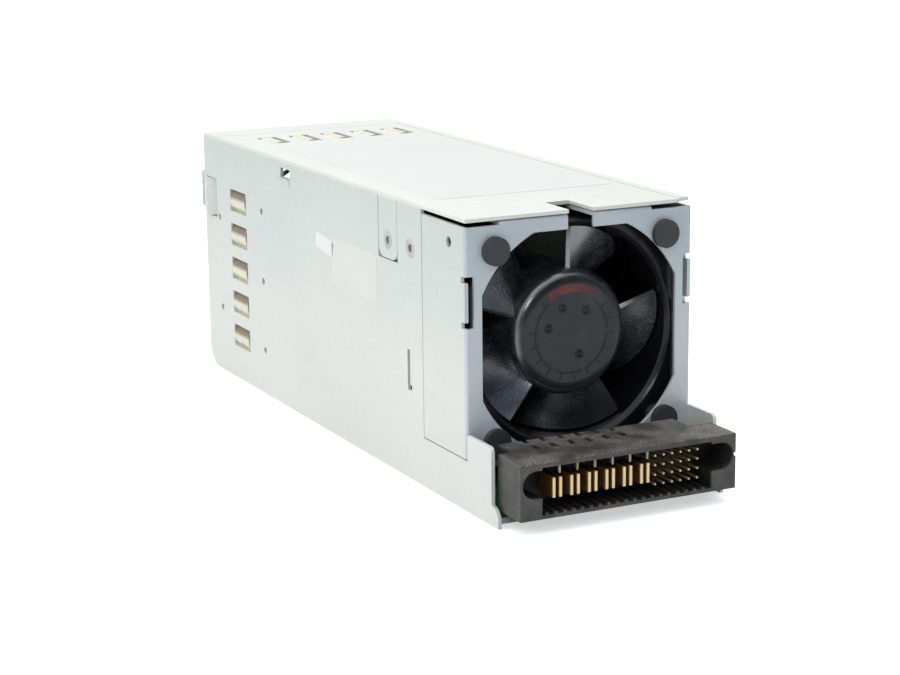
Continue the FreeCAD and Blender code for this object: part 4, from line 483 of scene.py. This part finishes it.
def labels():
    """Blank labels: a large one on the cover, a small tilted tag and a pale film on the left wall."""
    paper = film_white("label_paper", (0.72, 0.73, 0.715), (0.42, 0.52))
    clear = film_white("label_film", (0.68, 0.71, 0.675), (0.2, 0.3))
    white = film_white("tag_paper", (0.8, 0.8, 0.79))
    low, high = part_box("top_cover")
    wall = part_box("fan_bracket")[0]
    tilt = math.radians(7.5)
    along = (-Y * math.cos(tilt) - Z * math.sin(tilt)).normalized()
    on_cover = Vector(((low.x + high.x) / 2 + 1.0 * MM, low.y + 85 * MM, high.z))
    tag = Vector((wall.x, wall.y + 89.6 * MM, 55.2 * MM))
    on_wall = Vector((wall.x, wall.y + 68.8 * MM, 51.2 * MM))
    for name, place, width, height, corner, thick, material in (
            ("cover_label", frame_at(on_cover, X, Y), 54, 110, 1.5, 0.1, paper),
            ("small_label", frame_at(tag, along, along.cross(X)), 12.2, 4.4, 0.5, 0.08, white),
            ("wall_label", frame_at(on_wall, -Y, Z), 30.5, 13.8, 1.0, 0.08, clear)):
        sticker(name, place, width * MM, height * MM, corner * MM, thick * MM, material)


def screws(material):
    """Flat-headed screws with six-lobed sockets in place of the plain ones."""
    mesh = bmesh.new()
    low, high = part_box("side_screws")
    height = (low.z + high.z) / 2
    head, stem, lobe = 2.7 * MM, 1.5 * MM, 0.12
    socket, depth = 1.05 * MM, -0.7 * MM
    near, far = low.y + head, high.y - head
    profile = [(0.05 * MM, depth), (socket, depth), (1.1 * MM, -0.03 * MM), (1.3 * MM, 0),
               (head - 0.12 * MM, 0), (head, -0.1 * MM), (stem, -0.9 * MM), (stem, -2.1 * MM)]
    for side, along, across in ((low.x, near, -Y), (low.x, far, -Y), (high.x, near, Y)):
        turned(mesh, frame_at(Vector((side, along, height)), across, Z), profile, 48, {1: lobe, 2: lobe})
    screw = piece("socket_screws", mesh, material)
    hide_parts("side_screws")


def hub_marks(dark, ink):
    """Ring and ticks moulded on the hub, four gate marks, and a worn red arc at the top."""
    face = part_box("fan_rotor")[0].y
    fan_low, fan_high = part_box("fan_frame")
    axis = Vector((0, face, (fan_low.z + fan_high.z) / 2))
    place = frame_at(axis, X, Z)
    rise = 0.1 * MM
    ring, tick, tick_end, arc = 10.4 * MM, 10.9 * MM, 12.7 * MM, 13.1 * MM
    arc_start, arc_end = 58, 124
    # angles are in degrees; the ring has small breaks and stays clear of the arc
    mesh = bmesh.new()
    for start, end in ((128, 236), (244, 286), (292, 352), (2, 50)):
        sector(mesh, place, ring, tick, start, end, -rise, rise, 18)
    for angle in range(134, 395, 20):
        if not arc_start < angle % 360 < arc_end:
            sector(mesh, place, tick, tick_end, angle - 0.9, angle + 0.9, -rise, rise, 2)
    piece("hub_ring", mesh, dark, "fan")

    mesh = bmesh.new()
    gate = [(0.1 * MM, 0.05 * MM), (0.45 * MM, 0.16 * MM), (0.7 * MM, 0.05 * MM), (0.95 * MM, 0.2 * MM),
            (1.15 * MM, 0.2 * MM), (1.25 * MM, -0.05 * MM)]
    for across, up in ((-2.5, 6.9), (4.3, 5.7), (-6.8, 1.9), (2.35, -5.8)):
        spot = frame_at(axis + Vector((across, 0, up)) * MM, X, Z)
        turned(mesh, spot, gate, 28)
    piece("hub_gates", mesh, dark, "fan")

    mesh = bmesh.new()
    sector(mesh, place, tick, arc, arc_start, arc_end, -0.02 * MM, 0.04 * MM, 24)
    piece("hub_arc", mesh, ink, "fan")


def soft_block(mesh, low, high, corner):
    """A block with rounded edges between two corners."""
    made = bmesh.ops.create_cube(mesh, size=1)["verts"]
    middle, spread = (low + high) / 2, high - low
    for vert in made:
        vert.co = middle + Vector(a * b for a, b in zip(vert.co, spread))
    edges = list({edge for vert in made for edge in vert.link_edges})
    bmesh.ops.bevel(mesh, geom=edges, offset=corner, segments=3, profile=0.5, affect="EDGES")


def latch_pad(material):
    """Pale cover moulded round the thumb pad."""
    low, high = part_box("release_latch")
    grow = Vector((0.2, 0.2, 0.2)) * MM
    side, deep, length = 5.25 * MM, 3.4 * MM, 8.0 * MM
    near = Vector((low.x + side, high.y - length, low.z))
    far = Vector((near.x + deep, high.y, high.z))
    mesh = bmesh.new()
    soft_block(mesh, near - grow, far + grow, 0.8 * MM)
    piece("latch_pad", mesh, material, "latch")


def roof_contacts(material):
    """Narrow tinned strips that hang from the cavity's roof over each pair of blades."""
    low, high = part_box("connector_housing")
    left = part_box("power_blades")[0].x
    pairs, pitch, first, half = 6, 5.08, 1.35, 0.3 * MM
    front, back = low.y + 0.85 * MM, low.y + 1.1 * MM
    bottom, top = high.z - 3.6 * MM, high.z - 1.35 * MM
    mesh = bmesh.new()
    for number in range(pairs):
        centre = left + (first + pitch * number) * MM
        soft_block(mesh, Vector((centre - half, front, bottom)), Vector((centre + half, back, top)),
                   0.08 * MM)
    piece("roof_contacts", mesh, material)


def latch_ridges(material):
    """Three rounded ridges across the thumb pad, on the face that is pressed."""
    low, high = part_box("release_latch")
    mesh = bmesh.new()
    face = low.x + 5.05 * MM
    pitch, rise, half, steps = 1.9, 0.45 * MM, 0.55 * MM, 6
    for number in range(3):
        along = high.y - (pitch + pitch * number) * MM
        outline = []
        for step in range(steps + 1):
            angle = math.pi * step / steps
            outline.append(Vector((-rise * math.sin(angle), half * math.cos(angle), 0)))
        ends = []
        for height in (low.z + 1 * MM, high.z - 1 * MM):
            ends.append([Vector((face, along, height)) + shift for shift in outline])
        loops_to_shell(mesh, ends)
    piece("latch_ridges", mesh, material, "latch")


def lamp_dome(material):
    """A low dome over the end of the light pipe."""
    low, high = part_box("status_lamp")
    centre = Vector(((low.x + high.x) / 2, high.y, (low.z + high.z) / 2))
    mesh = bmesh.new()
    reach, rise = 1.5 * MM, 0.55 * MM
    profile = [(reach * math.cos(a), rise * math.sin(a)) for a in (0, 0.3, 0.6, 0.9, 1.2, 1.5)]
    turned(mesh, frame_at(centre, -X, Z), [(reach, -0.1 * MM)] + profile, 28)
    piece("lamp_dome", mesh, material)


def finishes():
    """Gives every CAD node its procedural finish, softens some edges and adds the fine pieces."""
    pale, shaded = (0.77, 0.79, 0.748), (0.71, 0.74, 0.718)
    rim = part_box("top_cover")[1].z
    steel = galvanised("galvanised_sheet", pale, shaded)
    # the walls take painted shade that darkens towards the cover's rim
    wall = galvanised("wall_sheet_painted_shade", pale, shaded, rim=rim)
    # the bracket's front plate takes a painted bluish reflection, and the bracket shares the walls'
    # painted shade towards the cover
    bracket = galvanised("bracket_sheet_painted_reflection_and_shade", pale, shaded, 0.4, ((0.68, 0.715, 0.735), (0.56, 0.6, 0.635)),
                         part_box("fan_bracket")[0].y, rim)
    dress(steel, "rear_panel", "nut_plates", "handle_lugs", "latch_bracket")
    dress(wall, "case_tray", "top_cover")
    dress(bracket, "fan_bracket")
    zinc = metal("zinc_plate", (0.42, 0.42, 0.41), (0.66, 0.66, 0.64), (0.25, 0.4))
    dress(zinc, "side_screws", "handle_pins", "latch_pin", "inlet_pins", "standoffs", "board_screws")
    ground = metal("ground_shaft", (0.5, 0.5, 0.5), (0.72, 0.72, 0.72), (0.12, 0.22))
    dress(ground, "fan_shaft", "fan_bearings")
    rubber = moulded("rivet_rubber", (0.03, 0.032, 0.037), (0.052, 0.056, 0.063), (0.5, 0.65), 0.5, 0.015)
    dress(rubber, "fan_isolators")
    frame_resin = moulded("fan_frame_resin", (0.004, 0.004, 0.005), (0.009, 0.009, 0.011), (0.2, 0.26))
    frame_resin.node_tree.nodes["Principled BSDF"].inputs["Specular IOR Level"].default_value = 0.35
    dress(frame_resin, "fan_frame")
    dress(dusty_rotor(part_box("fan_rotor")[0].y), "fan_rotor")
    dress(dusty_connector(*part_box("connector_housing")), "connector_housing")
    blades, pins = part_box("power_blades")[0].y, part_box("signal_pins")[0].y
    # each contact's first colour is its painted highlight at the front edge, the second its painted shade
    # along the sides
    dress(contact("blade_gold", blades, (0.95, 0.72, 0.4), (0.2, 0.1, 0.035), 0.8 * MM), "power_blades")
    dress(contact("pin_gold", pins, (0.95, 0.8, 0.5), (0.36, 0.26, 0.12), 1.2 * MM), "signal_pins")
    inlet = moulded("inlet_resin", (0.014, 0.014, 0.015), (0.028, 0.028, 0.03), (0.25, 0.38), 0.6, 0.004)
    dress(inlet, "ac_inlet")
    grip = moulded("handle_resin", (0.02, 0.02, 0.022), (0.045, 0.045, 0.048), (0.48, 0.62), 0.45, 0.03)
    dress(grip, "pull_handle")
    touch = moulded("latch_resin", (0.52, 0.53, 0.53), (0.62, 0.63, 0.62), (0.35, 0.5))
    dress(steel, "release_latch")
    tinted = lens()
    dress(tinted, "status_lamp")
    # the arches of a strip follow each other at this pitch, a margin in from the strip's end
    margin = 1.1 * MM
    for side, axis, pitch in (("left", "Z", 10.87), ("right", "Z", 10.87), ("top", "X", 10.6)):
        first = getattr(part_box(f"grounding_springs_{side}")[0], axis.lower()) + margin
        dress(sprung_bronze(f"spring_{side}", axis, first, pitch * MM), f"grounding_springs_{side}")
    dress(metal("leaf_bronze", (0.45, 0.33, 0.15), (0.7, 0.56, 0.3)), "latch_spring")
    dress(laminate(), "main_board", "control_card")
    dress(film_white("insulator_film", (0.8, 0.78, 0.66)), "insulator_sheet")
    dress(metal("extruded", (0.6, 0.61, 0.62), (0.76, 0.77, 0.78), (0.3, 0.45), 8, (1, 0.04, 1)),
          "output_heat_sink", "input_heat_sink")
    dress(moulded("package_resin", (0.02, 0.02, 0.022), (0.05, 0.05, 0.052)),
          "output_rectifiers", "input_switches", "control_chips")
    dress(moulded("can_sleeve", (0.01, 0.014, 0.04), (0.02, 0.03, 0.07), (0.2, 0.3), 2, 0.004, 8, 0.3),
          "bulk_capacitors", "output_capacitors")
    dress(moulded("ferrite", (0.03, 0.03, 0.032), (0.07, 0.07, 0.072), (0.6, 0.75), 0.4, 0.03),
          "transformer_core")
    dress(wound("winding_tape", (0.55, 0.4, 0.06), (0.8, 0.65, 0.16), 5.0), "transformer_winding")
    dress(wound("choke_wire", (0.22, 0.08, 0.03), (0.62, 0.3, 0.12), 1.1), "output_choke", "filter_choke")
    dress(wound("stator_wire", (0.25, 0.1, 0.04), (0.6, 0.32, 0.14), 0.9, "Y"), "fan_stator")
    dress(moulded("magnet_bond", (0.05, 0.05, 0.05), (0.1, 0.1, 0.1), (0.6, 0.7)), "magnet_ring")
    dress(moulded("relay_resin", (0.5, 0.5, 0.48), (0.62, 0.62, 0.6), (0.3, 0.4)), "inrush_relay")
    dress(moulded("fuse_glaze", (0.66, 0.64, 0.58), (0.78, 0.76, 0.7), (0.15, 0.25)), "input_fuse")
    dress(moulded("film_box", (0.45, 0.3, 0.04), (0.6, 0.42, 0.08), (0.3, 0.4)), "film_capacitors")
    crisp(0.12, "case_tray", "top_cover", "fan_bracket", "rear_panel", "connector_housing", "ac_inlet",
          "fan_isolators", "release_latch")
    crisp(0.3, "fan_frame")
    crisp(0.2, "signal_pins", "power_blades")

    labels()
    screws(zinc)
    mark = moulded("hub_mark_resin", (0.004, 0.004, 0.005), (0.01, 0.01, 0.012), (0.35, 0.5))
    hub_marks(mark, faded_red())
    latch_pad(touch)
    latch_ridges(touch)
    roof_contacts(metal("worn_tin", (0.22, 0.19, 0.12), (0.42, 0.38, 0.27), metallic=0.6))
    lamp_dome(tinted)


# ---- Stage, light and camera --------------------------------------------------------------------

def background_ray(tree):
    """1 for rays that should see the plain background: from the camera or through glass."""
    path = tree.nodes.new("ShaderNodeLightPath")
    node = tree.nodes.new("ShaderNodeMath")
    node.operation = "MAXIMUM"
    tree.links.new(path.outputs["Is Camera Ray"], node.inputs[0])
    tree.links.new(path.outputs["Is Transmission Ray"], node.inputs[1])
    return node.outputs[0]


def pale_floor():
    """A floor that takes the shadow and is white to the camera further off."""
    low, high = cad_bounds
    reach, sunk = 3.0, 0.0002
    mesh = bmesh.new()
    bmesh.ops.create_grid(mesh, x_segments=4, y_segments=4, size=reach)
    data = bpy.data.meshes.new("floor")
    mesh.to_mesh(data)
    mesh.free()
    floor = bpy.data.objects.new("floor", data)
    floor.location = ((low.x + high.x) / 2, (low.y + high.y) / 2, low.z - sunk)
    bpy.context.scene.collection.objects.link(floor)
    material = bpy.data.materials.new("floor_white")
    material.use_nodes = True
    tree = material.node_tree
    shader = tree.nodes["Principled BSDF"]
    shader.inputs["Base Color"].default_value = (0.86, 0.86, 0.86, 1)
    shader.inputs["Roughness"].default_value = 0.9
    shader.inputs["Specular IOR Level"].default_value = 0.0
    shader.inputs["Emission Color"].default_value = (*WHITE, 1)
    coords = tree.nodes.new("ShaderNodeTexCoord")
    distance = tree.nodes.new("ShaderNodeVectorMath")
    distance.operation = "LENGTH"
    tree.links.new(coords.outputs["Object"], distance.inputs[0])
    fade = tree.nodes.new("ShaderNodeMapRange")
    for key, value in (("From Min", 0.25), ("From Max", 0.8), ("To Min", 0.55), ("To Max", 1.0)):
        fade.inputs[key].default_value = value
    tree.links.new(distance.outputs["Value"], fade.inputs["Value"])
    strength = tree.nodes.new("ShaderNodeMath")
    strength.operation = "MULTIPLY"
    tree.links.new(background_ray(tree), strength.inputs[0])
    tree.links.new(fade.outputs["Result"], strength.inputs[1])
    tree.links.new(strength.outputs[0], shader.inputs["Emission Strength"])
    data.materials.append(material)


def surround():
    """White to the camera; the part gets least of its light from the front and most from behind."""
    world = bpy.data.worlds.new("surround")
    bpy.context.scene.world = world
    world.use_nodes = True
    tree = world.node_tree
    background = tree.nodes["Background"]
    direction = tree.nodes.new("ShaderNodeTexCoord")
    parts = tree.nodes.new("ShaderNodeSeparateXYZ")
    tree.links.new(direction.outputs["Generated"], parts.inputs["Vector"])
    side = tree.nodes.new("ShaderNodeMapRange")
    side.inputs["From Min"].default_value = -1.0
    tree.links.new(parts.outputs["Y"], side.inputs["Value"])
    tone = tree.nodes.new("ShaderNodeValToRGB")
    elements = tone.color_ramp.elements
    elements.new(0.6)
    stops = ((0.0, (0.08, 0.11, 0.16)), (0.6, (0.38, 0.38, 0.375)), (1.0, (0.9, 0.9, 0.9)))
    for element, (position, colour) in zip(elements, stops):
        element.position = position
        element.color = (*colour, 1)
    tree.links.new(side.outputs["Result"], tone.inputs["Fac"])
    level = tree.nodes.new("ShaderNodeMix")
    level.data_type = "RGBA"
    level.inputs[SECOND].default_value = (*WHITE, 1)
    tree.links.new(background_ray(tree), level.inputs["Factor"])
    tree.links.new(tone.outputs["Color"], level.inputs[FIRST])
    tree.links.new(level.outputs[RESULT], background.inputs["Color"])


def softbox(name, place, target, size, power, tint=WHITE):
    """A lamp with a rectangular face, in metres and watts, that looks at a target."""
    light = bpy.data.lights.new(name, "AREA")
    light.shape = "RECTANGLE"
    light.size, light.size_y = size
    light.energy = power
    light.color = tint
    obj = bpy.data.objects.new(name, light)
    obj.location = place
    obj.rotation_mode = "QUATERNION"
    obj.rotation_quaternion = (Vector(target) - Vector(place)).to_track_quat("-Z", "Y")
    bpy.context.scene.collection.objects.link(obj)


def lights():
    """Two large soft lamps, over the part and to its left, and a weak small one before the fan."""
    middle, fan = (0, 0, 0.04), (0, -0.09, 0.04)
    softbox("top_light", (-0.1, 0.1, 1.2), middle, (3.0, 3.0), 31.0)
    softbox("left_light", (-0.95, -0.15, 0.45), middle, (1.3, 0.9), 2.3, (1.0, 1.0, 0.975))
    softbox("front_light", (-0.44, -0.80, 0.50), fan, (0.22, 0.12), 1.15, (0.86, 0.91, 1.0))


def camera():
    """The pinhole camera that was fitted to the photograph: left of the fan end and a little above."""
    azimuth, fall, roll = math.radians(26.26), math.radians(13.04), -0.0120
    place = Vector((-279.62, -583.70, 172.99)) * MM
    focal_pixels, picture_width, film_width = 2233, 900, 36
    data = bpy.data.cameras.new("camera")
    obj = bpy.data.objects.new("camera", data)
    ahead = Vector((math.sin(azimuth) * math.cos(fall), math.cos(azimuth) * math.cos(fall),
                    -math.sin(fall)))
    right = Vector((math.cos(azimuth), -math.sin(azimuth), 0))
    up = right.cross(ahead)
    turned_right = right * math.cos(roll) + up * math.sin(roll)
    turned_up = up * math.cos(roll) - right * math.sin(roll)
    obj.matrix_world = Matrix((turned_right, turned_up, -ahead)).transposed().to_4x4()
    obj.location = place
    data.sensor_width = film_width
    data.lens = film_width * focal_pixels / picture_width
    data.clip_start = 0.01
    bpy.context.scene.collection.objects.link(obj)
    bpy.context.scene.camera = obj


finishes()
pale_floor()
surround()
lights()
camera()
bpy.context.scene.view_settings.view_transform = "Standard"
